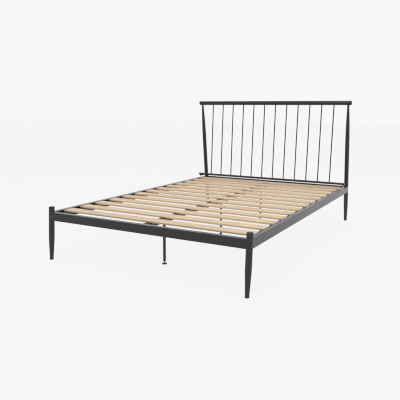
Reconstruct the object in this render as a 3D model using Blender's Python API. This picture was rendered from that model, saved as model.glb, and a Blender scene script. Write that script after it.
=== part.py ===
"""Metal bed frame with a spindle headboard, a slatted base and adjustable centre legs.

Metres, +Z up. X runs across the bed and +Y towards the headboard. The origin is on the
floor, in the middle of the frame's footprint.
"""

import math

import bmesh
import bpy

# Overall sizes
POST_SPACING = 1.500        # left post axis to right post axis
FRAME_LENGTH = 2.190        # foot post axis to top rail axis, along the bed
FOOT_POST_HEIGHT = 0.375    # floor to the top of a foot post's cap
HEADBOARD_HEIGHT = 1.112    # floor to the top rail's axis
FOOT_POST_RUN = 0.0226      # how far a foot post's lower end stands out in front
HEAD_POST_RUN = 0.142       # how far a head post's lower end stands out behind

# Posts
FOOT_POST_DIAMETER = 0.040
HEAD_POST_DIAMETER = 0.038
POST_TIP_DIAMETER = 0.026   # at the floor glide
POST_NECK_DIAMETER = 0.017  # under the top rail
POST_WALL = 0.002
LOWER_TAPER_HEIGHT = 0.150  # the posts narrow from here down to the floor
UPPER_TAPER_HEIGHT = 0.680  # the head posts narrow from here up to the top rail
UPPER_TAPER_POWER = 2.27    # above 1, the narrowing quickens towards the top
UPPER_TAPER_RINGS = 8

# Headboard
TOP_RAIL_DIAMETER = 0.039
TOP_RAIL_OVERHANG = 0.0285  # post axis to the outer face of the end cap
LOWER_RAIL_DIAMETER = 0.020
LOWER_RAIL_OVERHANG = 0.016  # post axis to the rail's end
VENT_DIAMETER = 0.004       # hole in each end of the lower rail
LOWER_RAIL_HEIGHT = 0.376   # floor to the lower rail's axis
LOWER_RAIL_SETBACK = 0.036  # the lower rail's axis stands this far in front of the top rail's
HEADBOARD_TUBE_WALL = 0.0015
SPINDLE_COUNT = 12
SPINDLE_DIAMETER = 0.010
SPINDLE_MARGIN = 0.12795    # post axis to the first spindle's axis
BRACKET_THICKNESS = 0.005
BRACKET_HEIGHT = 0.020
BRACKET_DROP = 0.012        # the bracket's middle below the lower rail's axis
BRACKET_LIP = 0.011         # how far the bracket reaches past the lower rail's axis

# Rails
RAIL_TOP = 0.339
RAIL_HEIGHT = 0.058
RAIL_WIDTH = 0.036
HEAD_RAIL_WIDTH = 0.030
RAIL_WALL = 0.002
RAIL_CORNER = 0.003

# Slats, ledges and centre rail
SLAT_COUNT = 13
SLAT_WIDTH = 0.090
SLAT_THICKNESS = 0.012
SLAT_EDGE = 0.002
SLAT_END_CLEARANCE = 0.004
LEDGE_SHELF = 0.028
LEDGE_DROP = 0.025
LEDGE_THICKNESS = 0.003
LEDGE_END_CLEARANCE = 0.003
CENTRE_RAIL_WIDTH = 0.040
CENTRE_RAIL_HEIGHT = 0.030
CENTRE_RAIL_CORNER = 0.002
CENTRE_RAIL_WALL = 0.0015
CENTRE_RAIL_END_CLEARANCE = 0.002
HANGER_LENGTH = 0.040
HANGER_THICKNESS = 0.0025

# Centre legs and their levelling feet
CENTRE_LEG_COUNT = 3
CENTRE_LEG_INSET = 0.285    # first and last leg from the cross rails' middles
CENTRE_LEG_DIAMETER = 0.020
CENTRE_LEG_WALL = 0.0015
LEG_FLANGE_DIAMETER = 0.036
LEG_FLANGE_THICKNESS = 0.003
LEG_INSERT_HEIGHT = 0.015   # length of the threaded end of the leg
STUD_DIAMETER = 0.008
STUD_LENGTH = 0.056
STUD_VISIBLE = 0.012        # thread in sight between the pad and the leg
PAD_DIAMETER = 0.032
PAD_HEIGHT = 0.009
PAD_SOCKET_FLOOR = 0.004    # rubber left under the stud
PAD_EDGE = 0.0015

# End caps and floor glides
CAP_FLANGE = 0.003
CAP_EDGE = 0.001
CAP_PLUG_LENGTH = 0.015
GLIDE_DIAMETER = 0.027
GLIDE_HEIGHT = 0.008
GLIDE_EDGE = 0.0015
GLIDE_PLUG_LENGTH = 0.027

# Fineness and fit
GAP = 0.0003                # left between pieces that touch
POST_SIDES = 24
ROD_SIDES = 12
CORNER_STEPS = 4
COPE_STEPS = 9              # steps in a quarter turn round a post, where a rail's end meets it
SIDE_STEPS = 8              # steps down a rail's side, for the posts' lean
SMOOTH_ANGLE = math.radians(35)

# Places that follow from the sizes
POST_X = POST_SPACING / 2
TOP_RAIL_LENGTH = POST_SPACING + 2 * TOP_RAIL_OVERHANG
LOWER_RAIL_LENGTH = POST_SPACING + 2 * LOWER_RAIL_OVERHANG
SPINDLE_PITCH = (POST_SPACING - 2 * SPINDLE_MARGIN) / (SPINDLE_COUNT - 1)
FOOT_LINE_Y = -(FRAME_LENGTH + HEAD_POST_RUN - FOOT_POST_RUN) / 2
HEAD_LINE_Y = FOOT_LINE_Y + FRAME_LENGTH
LOWER_RAIL_Y = HEAD_LINE_Y - LOWER_RAIL_SETBACK
RAIL_MIDDLE_Z = RAIL_TOP - RAIL_HEIGHT / 2
SLAT_UNDERSIDE = RAIL_TOP - SLAT_THICKNESS
SHELF_TOP = SLAT_UNDERSIDE - GAP
CENTRE_RAIL_UNDERSIDE = SHELF_TOP - CENTRE_RAIL_HEIGHT
LEG_BOTTOM = PAD_HEIGHT + STUD_VISIBLE
SIDE_RAIL_INNER_X = POST_X - RAIL_WIDTH / 2


def foot_post_y(height):
    """Y of a foot post's axis at a height."""
    return FOOT_LINE_Y - FOOT_POST_RUN * (1 - height / FOOT_POST_HEIGHT)


def head_post_y(height):
    """Y of a head post's axis at a height."""
    return HEAD_LINE_Y + HEAD_POST_RUN * (1 - height / HEADBOARD_HEIGHT)


def spindle_y(height):
    """Y of the spindles' axes at a height."""
    fall = (HEADBOARD_HEIGHT - height) / (HEADBOARD_HEIGHT - LOWER_RAIL_HEIGHT)
    return HEAD_LINE_Y - LOWER_RAIL_SETBACK * fall


FOOT_RAIL_Y = foot_post_y(RAIL_MIDDLE_Z)
HEAD_RAIL_Y = head_post_y(RAIL_MIDDLE_Z)
FOOT_RAIL_INNER_Y = FOOT_RAIL_Y + RAIL_WIDTH / 2
HEAD_RAIL_INNER_Y = HEAD_RAIL_Y - HEAD_RAIL_WIDTH / 2


# Materials

def principled(name, colour, roughness, metallic):
    """A material with one Principled BSDF."""
    material = bpy.data.materials.new(name)
    material.use_nodes = True
    shader = material.node_tree.nodes["Principled BSDF"]
    shader.inputs["Base Color"].default_value = (*colour, 1.0)
    shader.inputs["Roughness"].default_value = roughness
    shader.inputs["Metallic"].default_value = metallic
    return material


def black_paint():
    """Black satin powder coat on steel."""
    return principled("black_powder_coat", (0.018, 0.018, 0.019), 0.42, 0.0)


def black_plastic():
    """Black plastic of the caps and floor glides."""
    return principled("black_plastic", (0.012, 0.012, 0.012), 0.55, 0.0)


def pale_plywood():
    """Pale plywood of the slats."""
    return principled("pale_plywood", (0.62, 0.47, 0.31), 0.60, 0.0)


def plated_steel():
    """Zinc-plated steel of the studs."""
    return principled("plated_steel", (0.62, 0.61, 0.58), 0.35, 1.0)


def black_rubber():
    """Black rubber of the levelling pads."""
    return principled("black_rubber", (0.020, 0.020, 0.020), 0.80, 0.0)


# Mesh building

def clear_scene():
    """Remove what the scene holds, so that only the bed is left."""
    for item in list(bpy.data.objects):
        bpy.data.objects.remove(item, do_unlink=True)


def ring(place, along, radius, sides):
    """Points of one circle of a turned piece; a radius of 0 is a single point."""
    if radius == 0:
        return [place(along, 0.0, 0.0)]
    turns = [2 * math.pi * step / sides for step in range(sides)]
    return [place(along, radius * math.cos(turn), radius * math.sin(turn)) for turn in turns]


def standing(x, axis_y):
    """Place a turned piece on an axis that stands at x and leans along Y."""
    return lambda along, a, b: (x + a, axis_y(along) + b, along)


def lying(side, y, z):
    """Place a turned piece on an axis that lies along X, on the side +1 or -1."""
    return lambda along, a, b: (side * along, y + a, z + b)


def trim(points, height_at):
    """Move a ring's points up or down onto a surface."""
    return [(x, y, height_at(y)) for x, y, z in points]


def under_top_rail(y):
    """Height of the top rail's underside, less the gap."""
    reach = TOP_RAIL_DIAMETER / 2 + GAP
    return HEADBOARD_HEIGHT - math.sqrt(reach ** 2 - (y - HEAD_LINE_Y) ** 2)


def over_lower_rail(y):
    """Height of the lower rail's upper side, plus the gap."""
    reach = LOWER_RAIL_DIAMETER / 2 + GAP
    return LOWER_RAIL_HEIGHT + math.sqrt(reach ** 2 - (y - LOWER_RAIL_Y) ** 2)


def new_object(name, mesh, origin, material):
    """Link an object that holds a mesh."""
    piece = bpy.data.objects.new(name, mesh)
    piece.location = origin
    if not mesh.materials:
        mesh.materials.append(material)
    bpy.context.scene.collection.objects.link(piece)
    return piece


def finish_mesh(build, name):
    """Turn a bmesh into a smooth-shaded mesh with outward faces."""
    bmesh.ops.recalc_face_normals(build, faces=build.faces)
    mesh = bpy.data.meshes.new(name)
    build.to_mesh(mesh)
    build.free()
    mesh.shade_smooth()
    mesh.set_sharp_from_angle(angle=SMOOTH_ANGLE)
    return mesh


def skin(name, rings, origin, material, hollow=False):
    """Join rings of points into one closed body; a hollow one ends where it starts."""
    build = bmesh.new()
    loops = []
    for points in rings:
        loops.append([build.verts.new([p - o for p, o in zip(point, origin)]) for point in points])
    pairs = list(zip(loops, loops[1:]))
    if hollow:
        pairs.append((loops[-1], loops[0]))
    for near, far in pairs:
        join_loops(build, near, far)
    return new_object(name, finish_mesh(build, name), origin, material)


def join_loops(build, near, far):
    """Faces between two rings, either of which may be a single point."""
    count = max(len(near), len(far))
    for step in range(count):
        after = (step + 1) % count
        corners = [near[step % len(near)], near[after % len(near)],
                   far[after % len(far)], far[step % len(far)]]
        build.faces.new(list(dict.fromkeys(corners)))


def prism(name, outline, origin, place, ends, material):
    """A solid bar with one outline, run between two places along its length."""
    build = bmesh.new()
    caps = []
    for along in ends:
        points = [place(along, a, b) for a, b in outline]
        caps.append([build.verts.new([p - o for p, o in zip(point, origin)]) for point in points])
    join_loops(build, caps[0], caps[1])
    for cap in caps:
        build.faces.new(cap)
    return new_object(name, finish_mesh(build, name), origin, material)


def copy_at(piece, name, location):
    """Another object with the same mesh."""
    return new_object(name, piece.data, location, None)


def mirror_name(side):
    """The word for a side, -1 or +1, in a piece's name."""
    return "right" if side > 0 else "left"


def section(width, height, corner, top=(), bottom=(), side_steps=1):
    """Outline of a rectangle with round corners, with extra points on its flats.

    top and bottom are places across the upper and the lower flat.
    """
    side = height / 2 - corner
    down = [side * (1 - 2 * step / side_steps) for step in range(1, side_steps)]
    edge = width / 2
    flats = ([(a, height / 2) for a in sorted(top, reverse=True)], [(-edge, b) for b in down],
             [(a, -height / 2) for a in sorted(bottom)], [(edge, b) for b in reversed(down)])
    points = []
    for number, (across, up) in enumerate(((1, 1), (-1, 1), (-1, -1), (1, -1))):
        for step in range(CORNER_STEPS + 1):
            turn = math.radians(90 * (number + step / CORNER_STEPS))
            points.append((across * (width / 2 - corner) + corner * math.cos(turn),
                           up * (height / 2 - corner) + corner * math.sin(turn)))
        points += flats[number]
    return points


def hollow_bar(name, outlines, origin, place, ends, material):
    """A tube with outlines from its outer to its inner surface, between two shaped ends.

    Each end's place along the tube is a function of the outline's point.
    """
    first, last = ends
    rings = [[place(last(a, b), a, b) for a, b in outline] for outline in outlines]
    rings += [[place(first(a, b), a, b) for a, b in outline] for outline in outlines[::-1]]
    return skin(name, rings, origin, material, hollow=True)


def cope_places(width, post_diameter, shift):
    """Places across a rail's flat, at even turns round the post that its end is cut to.

    shift is how far the rail's middle is from the post's axis at that flat.
    """
    reach = post_diameter / 2 + GAP
    room = width / 2 - max(RAIL_CORNER, RAIL_WALL + GAP)
    turns = [math.pi / 2 * step / COPE_STEPS for step in range(-COPE_STEPS, COPE_STEPS + 1)]
    places = [reach * math.sin(turn) - shift for turn in turns]
    return [place for place in places if abs(place) < room - GAP]


def rail_outlines(width, top, bottom):
    """Outer, middle and inner outline of the wall of a rail that is cut to round posts."""
    depths = (0, RAIL_WALL / 2, RAIL_WALL)
    return [section(width - 2 * depth, RAIL_HEIGHT - 2 * depth, max(RAIL_CORNER - depth, GAP),
                    top, bottom, SIDE_STEPS) for depth in depths]


def stand_off(inward, post_diameter):
    """How far from a post's axis a rail stops, for a point this far to the bed's inside.

    The rail's end follows the round post, and is mitred where the other rail comes in.
    """
    reach = math.sqrt(max(0.0, (post_diameter / 2 + GAP) ** 2 - inward ** 2))
    return max(reach, inward + GAP)


# Headboard

def head_post_radius(height, top):
    """Outer radius of a head post."""
    full = HEAD_POST_DIAMETER / 2
    if height <= UPPER_TAPER_HEIGHT:
        return full
    run = (height - UPPER_TAPER_HEIGHT) / (top - UPPER_TAPER_HEIGHT)
    return full - (full - POST_NECK_DIAMETER / 2) * run ** UPPER_TAPER_POWER


def make_head_post(side, material):
    """A hollow post, narrow at the floor and under the top rail, cut to the rail's round."""
    place = standing(side * POST_X, head_post_y)
    bottom = GLIDE_HEIGHT + GAP
    top = under_top_rail(HEAD_LINE_Y)
    stations = [(bottom, POST_TIP_DIAMETER / 2), (LOWER_TAPER_HEIGHT, HEAD_POST_DIAMETER / 2)]
    for step in range(UPPER_TAPER_RINGS + 1):
        height = UPPER_TAPER_HEIGHT + (top - UPPER_TAPER_HEIGHT) * step / UPPER_TAPER_RINGS
        stations.append((height, head_post_radius(height, top)))
    outer = [ring(place, height, radius, POST_SIDES) for height, radius in stations]
    inner = [ring(place, height, radius - POST_WALL, POST_SIDES) for height, radius in stations]
    outer[-1] = trim(outer[-1], under_top_rail)
    inner[-1] = trim(inner[-1], under_top_rail)
    name = "headboard_post_" + mirror_name(side)
    origin = (side * POST_X, head_post_y(0), 0)
    skin(name, outer + inner[::-1], origin, material, hollow=True)


def make_top_rail(material):
    """The round tube along the headboard's top, open for a cap at each end."""
    place = lying(1, HEAD_LINE_Y, HEADBOARD_HEIGHT)
    half = TOP_RAIL_LENGTH / 2 - CAP_FLANGE - GAP
    radius = TOP_RAIL_DIAMETER / 2
    bore = radius - HEADBOARD_TUBE_WALL
    stations = ((-half, radius), (half, radius), (half, bore), (-half, bore))
    rings = [ring(place, along, size, POST_SIDES) for along, size in stations]
    skin("headboard_top_rail", rings, (0, HEAD_LINE_Y, HEADBOARD_HEIGHT), material, hollow=True)


def make_lower_rail(material):
    """The round tube under the spindles, closed at its ends but for a vent hole."""
    place = lying(1, LOWER_RAIL_Y, LOWER_RAIL_HEIGHT)
    half = LOWER_RAIL_LENGTH / 2
    inside = half - HEADBOARD_TUBE_WALL
    radius = LOWER_RAIL_DIAMETER / 2
    bore = radius - HEADBOARD_TUBE_WALL
    vent = VENT_DIAMETER / 2
    stations = ((-half, vent), (-half, radius - CAP_EDGE), (CAP_EDGE - half, radius),
                (half - CAP_EDGE, radius), (half, radius - CAP_EDGE), (half, vent),
                (inside, vent), (inside, bore), (-inside, bore), (-inside, vent))
    rings = [ring(place, along, size, POST_SIDES) for along, size in stations]
    skin("headboard_lower_rail", rings, (0, LOWER_RAIL_Y, LOWER_RAIL_HEIGHT), material, hollow=True)


def make_top_rail_cap(side, material):
    """A plug with a flange, in one end of the top rail."""
    place = lying(side, HEAD_LINE_Y, HEADBOARD_HEIGHT)
    radius = TOP_RAIL_DIAMETER / 2
    plug = radius - HEADBOARD_TUBE_WALL - GAP
    face = TOP_RAIL_LENGTH / 2
    seat = face - CAP_FLANGE
    stations = ((seat - CAP_PLUG_LENGTH, 0), (seat - CAP_PLUG_LENGTH, plug), (seat, plug),
                (seat, radius), (face - CAP_EDGE, radius), (face, radius - CAP_EDGE), (face, 0))
    rings = [ring(place, along, size, POST_SIDES) for along, size in stations]
    origin = (side * face, HEAD_LINE_Y, HEADBOARD_HEIGHT)
    skin("top_rail_cap_" + mirror_name(side), rings, origin, material)


def make_spindles(material):
    """Straight rods from the lower rail to the top rail."""
    first_x = -SPINDLE_PITCH * (SPINDLE_COUNT - 1) / 2
    place = standing(first_x, spindle_y)
    radius = SPINDLE_DIAMETER / 2
    low = over_lower_rail(LOWER_RAIL_Y)
    high = under_top_rail(HEAD_LINE_Y)
    sizes = (0, radius / 2, radius)
    rings = [trim(ring(place, low, size, ROD_SIDES), over_lower_rail) for size in sizes]
    rings += [trim(ring(place, high, size, ROD_SIDES), under_top_rail) for size in sizes[::-1]]
    origin = (first_x, LOWER_RAIL_Y, LOWER_RAIL_HEIGHT)
    first = skin("headboard_spindle_01", rings, origin, material)
    for step in range(1, SPINDLE_COUNT):
        place_x = first_x + step * SPINDLE_PITCH
        copy_at(first, f"headboard_spindle_{step + 1:02d}", (place_x, *origin[1:]))


def make_headboard_bracket(side, material):
    """A plate on edge that carries one end of the lower rail in front of the post."""
    middle = LOWER_RAIL_HEIGHT - BRACKET_DROP
    low = middle - BRACKET_HEIGHT / 2
    high = middle + BRACKET_HEIGHT / 2
    reach = LOWER_RAIL_DIAMETER / 2 + GAP
    clear = HEAD_POST_DIAMETER / 2 + GAP
    front = LOWER_RAIL_Y - BRACKET_LIP
    outline = [(front, low), (head_post_y(low) - clear, low), (head_post_y(high) - clear, high)]
    last_turn = math.asin((high - LOWER_RAIL_HEIGHT) / reach)
    arc_steps = 8
    for step in range(arc_steps + 1):
        turn = last_turn - (math.pi + 2 * last_turn) * step / arc_steps
        outline.append((LOWER_RAIL_Y + reach * math.cos(turn), LOWER_RAIL_HEIGHT + reach * math.sin(turn)))
    outline.append((front, high))
    x = side * POST_X
    ends = (x - BRACKET_THICKNESS / 2, x + BRACKET_THICKNESS / 2)
    origin = (x, LOWER_RAIL_Y, middle)
    name = "headboard_bracket_" + mirror_name(side)
    prism(name, outline, origin, lambda along, a, b: (along, a, b), ends, material)


def make_headboard(paint, plastic):
    """Posts, rails, spindles, brackets and rail caps."""
    make_top_rail(paint)
    make_lower_rail(paint)
    for side in (-1, 1):
        make_head_post(side, paint)
        make_headboard_bracket(side, paint)
        make_top_rail_cap(side, plastic)
    make_spindles(paint)


# Foot end and rails

def make_foot_post(side, material):
    """A hollow post with a tapered lower end."""
    place = standing(side * POST_X, foot_post_y)
    full = FOOT_POST_DIAMETER / 2
    stations = ((GLIDE_HEIGHT + GAP, POST_TIP_DIAMETER / 2), (LOWER_TAPER_HEIGHT, full),
                (FOOT_POST_HEIGHT - CAP_FLANGE - GAP, full))
    outer = [ring(place, height, radius, POST_SIDES) for height, radius in stations]
    inner = [ring(place, height, radius - POST_WALL, POST_SIDES) for height, radius in stations]
    origin = (side * POST_X, foot_post_y(0), 0)
    skin("foot_post_" + mirror_name(side), outer + inner[::-1], origin, material, hollow=True)


def make_foot_post_cap(side, material):
    """A plug with a flange, in the top of a foot post."""
    place = standing(side * POST_X, foot_post_y)
    full = FOOT_POST_DIAMETER / 2
    plug = full - POST_WALL - GAP
    seat = FOOT_POST_HEIGHT - CAP_FLANGE
    stations = ((seat - CAP_PLUG_LENGTH, 0), (seat - CAP_PLUG_LENGTH, plug), (seat, plug), (seat, full),
                (FOOT_POST_HEIGHT - CAP_EDGE, full), (FOOT_POST_HEIGHT, full - CAP_EDGE),
                (FOOT_POST_HEIGHT, 0))
    rings = [ring(place, height, radius, POST_SIDES) for height, radius in stations]
    origin = (side * POST_X, FOOT_LINE_Y, FOOT_POST_HEIGHT)
    skin("foot_post_cap_" + mirror_name(side), rings, origin, material)


def make_glide(name, side, axis_y, material):
    """A foot under a post: a disc that stands flat on the floor and a plug in the post."""
    place = standing(side * POST_X, axis_y)
    plug = POST_TIP_DIAMETER / 2 - POST_WALL - GAP
    full = GLIDE_DIAMETER / 2
    stations = ((0, 0), (0, full - GLIDE_EDGE), (GLIDE_EDGE, full), (GLIDE_HEIGHT, full),
                (GLIDE_HEIGHT, plug), (GLIDE_HEIGHT + GLIDE_PLUG_LENGTH, plug),
                (GLIDE_HEIGHT + GLIDE_PLUG_LENGTH, 0))
    rings = [ring(place, height, radius, POST_SIDES) for height, radius in stations]
    skin(name, rings, (side * POST_X, axis_y(0), 0), material)


def make_cross_rail(name, width, y, axis_y, post_diameter, inside, material):
    """A rail across the bed; inside is +1 where the bed's middle is towards +Y."""
    def end(side):
        def reach(a, b):
            inward = inside * (y + a - axis_y(RAIL_MIDDLE_Z + b))
            return side * (POST_X - stand_off(inward, post_diameter))
        return reach

    def place(along, a, b):
        return (along, y + a, RAIL_MIDDLE_Z + b)

    top = cope_places(width, post_diameter, y - axis_y(RAIL_TOP))
    bottom = cope_places(width, post_diameter, y - axis_y(RAIL_TOP - RAIL_HEIGHT))
    hollow_bar(name, rail_outlines(width, top, bottom), (0, y, RAIL_MIDDLE_Z), place,
               (end(-1), end(1)), material)


def make_side_rail(side, material):
    """A rail along the bed between a foot post and a head post."""
    def start(a, b):
        return foot_post_y(RAIL_MIDDLE_Z + b) + stand_off(-side * a, FOOT_POST_DIAMETER)

    def finish(a, b):
        return head_post_y(RAIL_MIDDLE_Z + b) - stand_off(-side * a, HEAD_POST_DIAMETER)

    def place(along, a, b):
        return (side * POST_X + a, along, RAIL_MIDDLE_Z + b)

    flat = cope_places(RAIL_WIDTH, FOOT_POST_DIAMETER, 0) + cope_places(RAIL_WIDTH, HEAD_POST_DIAMETER, 0)
    flat = sorted(set(flat))
    origin = (side * POST_X, 0, RAIL_MIDDLE_Z)
    hollow_bar("side_rail_" + mirror_name(side), rail_outlines(RAIL_WIDTH, flat, flat), origin, place,
               (start, finish), material)


def make_ledge(side, material):
    """An angle on the side rail's inside that the slats' ends lie on."""
    face = SIDE_RAIL_INNER_X - GAP
    outline = [(face, SHELF_TOP), (face, SHELF_TOP - LEDGE_DROP),
               (face - LEDGE_THICKNESS, SHELF_TOP - LEDGE_DROP),
               (face - LEDGE_THICKNESS, SHELF_TOP - LEDGE_THICKNESS),
               (face - LEDGE_SHELF, SHELF_TOP - LEDGE_THICKNESS), (face - LEDGE_SHELF, SHELF_TOP)]
    ends = (FOOT_RAIL_INNER_Y + LEDGE_END_CLEARANCE, HEAD_RAIL_INNER_Y - LEDGE_END_CLEARANCE)
    prism("slat_ledge_" + mirror_name(side), outline, (side * face, 0, SHELF_TOP),
          lambda along, a, b: (side * a, along, b), ends, material)


def make_rails(paint, plastic):
    """Foot posts, cross rails, side rails, ledges, caps and glides."""
    make_cross_rail("foot_rail", RAIL_WIDTH, FOOT_RAIL_Y, foot_post_y, FOOT_POST_DIAMETER, 1, paint)
    make_cross_rail("head_rail", HEAD_RAIL_WIDTH, HEAD_RAIL_Y, head_post_y, HEAD_POST_DIAMETER, -1, paint)
    for side in (-1, 1):
        make_foot_post(side, paint)
        make_foot_post_cap(side, plastic)
        make_side_rail(side, paint)
        make_ledge(side, paint)
        make_glide("foot_glide_" + mirror_name(side), side, foot_post_y, plastic)
        make_glide("head_glide_" + mirror_name(side), side, head_post_y, plastic)


# Slatted base

def make_slats(material):
    """Boards across the bed, evenly spaced between the foot rail and the head rail."""
    length = 2 * (SIDE_RAIL_INNER_X - SLAT_END_CLEARANCE)
    span = HEAD_RAIL_INNER_Y - FOOT_RAIL_INNER_Y
    space = (span - SLAT_COUNT * SLAT_WIDTH) / (SLAT_COUNT + 1)
    build = bmesh.new()
    bmesh.ops.create_cube(build, size=1)
    bmesh.ops.scale(build, vec=(length, SLAT_WIDTH, SLAT_THICKNESS), verts=build.verts)
    bmesh.ops.bevel(build, geom=build.edges[:], offset=SLAT_EDGE, segments=1, affect="EDGES")
    mesh = finish_mesh(build, "slat")
    for step in range(SLAT_COUNT):
        y = FOOT_RAIL_INNER_Y + space + SLAT_WIDTH / 2 + step * (space + SLAT_WIDTH)
        middle = (0, y, SLAT_UNDERSIDE + SLAT_THICKNESS / 2)
        new_object(f"slat_{step + 1:02d}", mesh, middle, material)


def make_centre_rail(material):
    """The rail under the slats' middles."""
    middle_z = SHELF_TOP - CENTRE_RAIL_HEIGHT / 2
    start = FOOT_RAIL_INNER_Y + CENTRE_RAIL_END_CLEARANCE
    finish = HEAD_RAIL_INNER_Y - CENTRE_RAIL_END_CLEARANCE
    wall = 2 * CENTRE_RAIL_WALL
    outer = section(CENTRE_RAIL_WIDTH, CENTRE_RAIL_HEIGHT, CENTRE_RAIL_CORNER)
    inner = section(CENTRE_RAIL_WIDTH - wall, CENTRE_RAIL_HEIGHT - wall,
                    CENTRE_RAIL_CORNER - CENTRE_RAIL_WALL)
    hollow_bar("centre_rail", (outer, inner), (0, 0, middle_z),
               lambda along, a, b: (a, along, middle_z + b),
               (lambda a, b: start, lambda a, b: finish), material)


def make_hanger(name, wall_y, inside, material):
    """A U-shaped seat on a cross rail that one end of the centre rail drops into."""
    inner = CENTRE_RAIL_WIDTH / 2 + GAP
    outer = inner + HANGER_THICKNESS
    top = SHELF_TOP - CENTRE_RAIL_CORNER
    seat = CENTRE_RAIL_UNDERSIDE - GAP
    base = seat - HANGER_THICKNESS
    outline = [(-outer, top), (-outer, base), (outer, base), (outer, top),
               (inner, top), (inner, seat), (-inner, seat), (-inner, top)]
    ends = (wall_y + inside * GAP, wall_y + inside * HANGER_LENGTH)
    prism(name, outline, (0, wall_y, base), lambda along, a, b: (a, along, b), ends, material)


def centre_leg_places():
    """Y of each centre leg, spread evenly between the first and the last."""
    first = FOOT_RAIL_Y + CENTRE_LEG_INSET
    last = HEAD_RAIL_Y - CENTRE_LEG_INSET
    pitch = (last - first) / (CENTRE_LEG_COUNT - 1)
    return [first + step * pitch for step in range(CENTRE_LEG_COUNT)]


def make_centre_leg(y, material):
    """A tube with a flange at its top and a threaded end below."""
    place = standing(0, lambda height: y)
    top = CENTRE_RAIL_UNDERSIDE - GAP
    full = CENTRE_LEG_DIAMETER / 2
    bore = full - CENTRE_LEG_WALL
    thread = STUD_DIAMETER / 2 + GAP
    insert_top = LEG_BOTTOM + LEG_INSERT_HEIGHT
    stations = ((LEG_BOTTOM, full), (top - LEG_FLANGE_THICKNESS, full),
                (top - LEG_FLANGE_THICKNESS, LEG_FLANGE_DIAMETER / 2), (top, LEG_FLANGE_DIAMETER / 2),
                (top, bore), (insert_top, bore), (insert_top, thread), (LEG_BOTTOM, thread))
    rings = [ring(place, height, radius, POST_SIDES) for height, radius in stations]
    return skin("centre_leg_1", rings, (0, y, LEG_BOTTOM), material, hollow=True)


def make_levelling_stud(y, material):
    """The threaded rod of a levelling foot."""
    place = standing(0, lambda height: y)
    radius = STUD_DIAMETER / 2
    low = PAD_SOCKET_FLOOR + GAP
    high = low + STUD_LENGTH
    stations = ((low, 0), (low, radius), (high, radius), (high, 0))
    rings = [ring(place, height, size, POST_SIDES) for height, size in stations]
    return skin("levelling_stud_1", rings, (0, y, low), material)


def make_levelling_pad(y, material):
    """The foot of a levelling foot, with a socket for the stud."""
    place = standing(0, lambda height: y)
    full = PAD_DIAMETER / 2
    socket = STUD_DIAMETER / 2 + GAP
    stations = ((0, 0), (0, full - PAD_EDGE), (PAD_EDGE, full), (PAD_HEIGHT - PAD_EDGE, full),
                (PAD_HEIGHT, full - PAD_EDGE), (PAD_HEIGHT, socket), (PAD_SOCKET_FLOOR, socket),
                (PAD_SOCKET_FLOOR, 0))
    rings = [ring(place, height, size, POST_SIDES) for height, size in stations]
    return skin("levelling_pad_1", rings, (0, y, 0), material)


def make_centre_support(paint, steel, rubber):
    """Centre rail, its hangers, and the legs with their levelling feet."""
    make_centre_rail(paint)
    make_hanger("centre_hanger_foot", FOOT_RAIL_INNER_Y, 1, paint)
    make_hanger("centre_hanger_head", HEAD_RAIL_INNER_Y, -1, paint)
    places = centre_leg_places()
    firsts = (make_centre_leg(places[0], paint), make_levelling_stud(places[0], steel),
              make_levelling_pad(places[0], rubber))
    for number, y in enumerate(places[1:], start=2):
        for first in firsts:
            copy_at(first, first.name[:-1] + str(number), (0, y, first.location.z))


def main():
    clear_scene()
    paint = black_paint()
    plastic = black_plastic()
    make_headboard(paint, plastic)
    make_rails(paint, plastic)
    make_slats(pale_plywood())
    make_centre_support(paint, plated_steel(), black_rubber())


main()
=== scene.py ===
"""Looks of a black steel bed frame with a spindle headboard and a slatted base.

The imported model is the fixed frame. Each sub-assembly is a class that builds its detailed
pieces where the frame's nodes are, dresses them and sets them on their bodies.
"""

import logging
import math
from dataclasses import dataclass, field
from enum import Enum
from typing import Callable, Optional, Sequence

import bmesh
import bpy
from mathutils import Matrix, Vector


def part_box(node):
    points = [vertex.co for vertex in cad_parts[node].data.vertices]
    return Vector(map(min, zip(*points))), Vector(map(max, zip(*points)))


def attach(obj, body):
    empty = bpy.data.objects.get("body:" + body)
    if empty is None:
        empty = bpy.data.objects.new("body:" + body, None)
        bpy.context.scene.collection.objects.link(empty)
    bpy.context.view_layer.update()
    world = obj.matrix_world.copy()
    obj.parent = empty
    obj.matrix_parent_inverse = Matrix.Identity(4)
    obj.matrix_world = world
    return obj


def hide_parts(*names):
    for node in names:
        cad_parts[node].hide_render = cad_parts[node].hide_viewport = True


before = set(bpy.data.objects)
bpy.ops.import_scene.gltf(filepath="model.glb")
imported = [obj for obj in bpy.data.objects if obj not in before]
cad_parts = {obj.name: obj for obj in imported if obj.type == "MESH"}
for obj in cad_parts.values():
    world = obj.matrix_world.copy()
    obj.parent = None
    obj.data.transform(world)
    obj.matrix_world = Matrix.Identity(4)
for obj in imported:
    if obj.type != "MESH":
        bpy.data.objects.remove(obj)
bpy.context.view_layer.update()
LOG = logging.getLogger("bed_frame")

Place = Callable[[float, float, float], tuple[float, float, float]]
Points = list[tuple[float, float, float]]
Material = bpy.types.Material
Piece = bpy.types.Object

MAIN_BODY = "frame"
SINK = 0.0004  # reach of a piece into the one it is welded to, over the frame's gap
SHARP_DEGREES = 38.0  # edges that bend more than this stay sharp


class Side(Enum):
    """The two sides of the bed, with the sign of their X."""

    LEFT = -1
    RIGHT = 1

    @property
    def word(self) -> str:
        """The side's word in the frame's node names."""
        return self.name.lower()


class End(Enum):
    """The two ends of the bed, with the sign of the way to the bed's middle along Y."""

    FOOT = 1
    HEAD = -1

    @property
    def word(self) -> str:
        """The end's word in the frame's node names."""
        return self.name.lower()


class Drive(Enum):
    """The recess in a screw's or bolt's head."""

    HEXAGON = 6
    CROSS = 4


# Shader building

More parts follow.
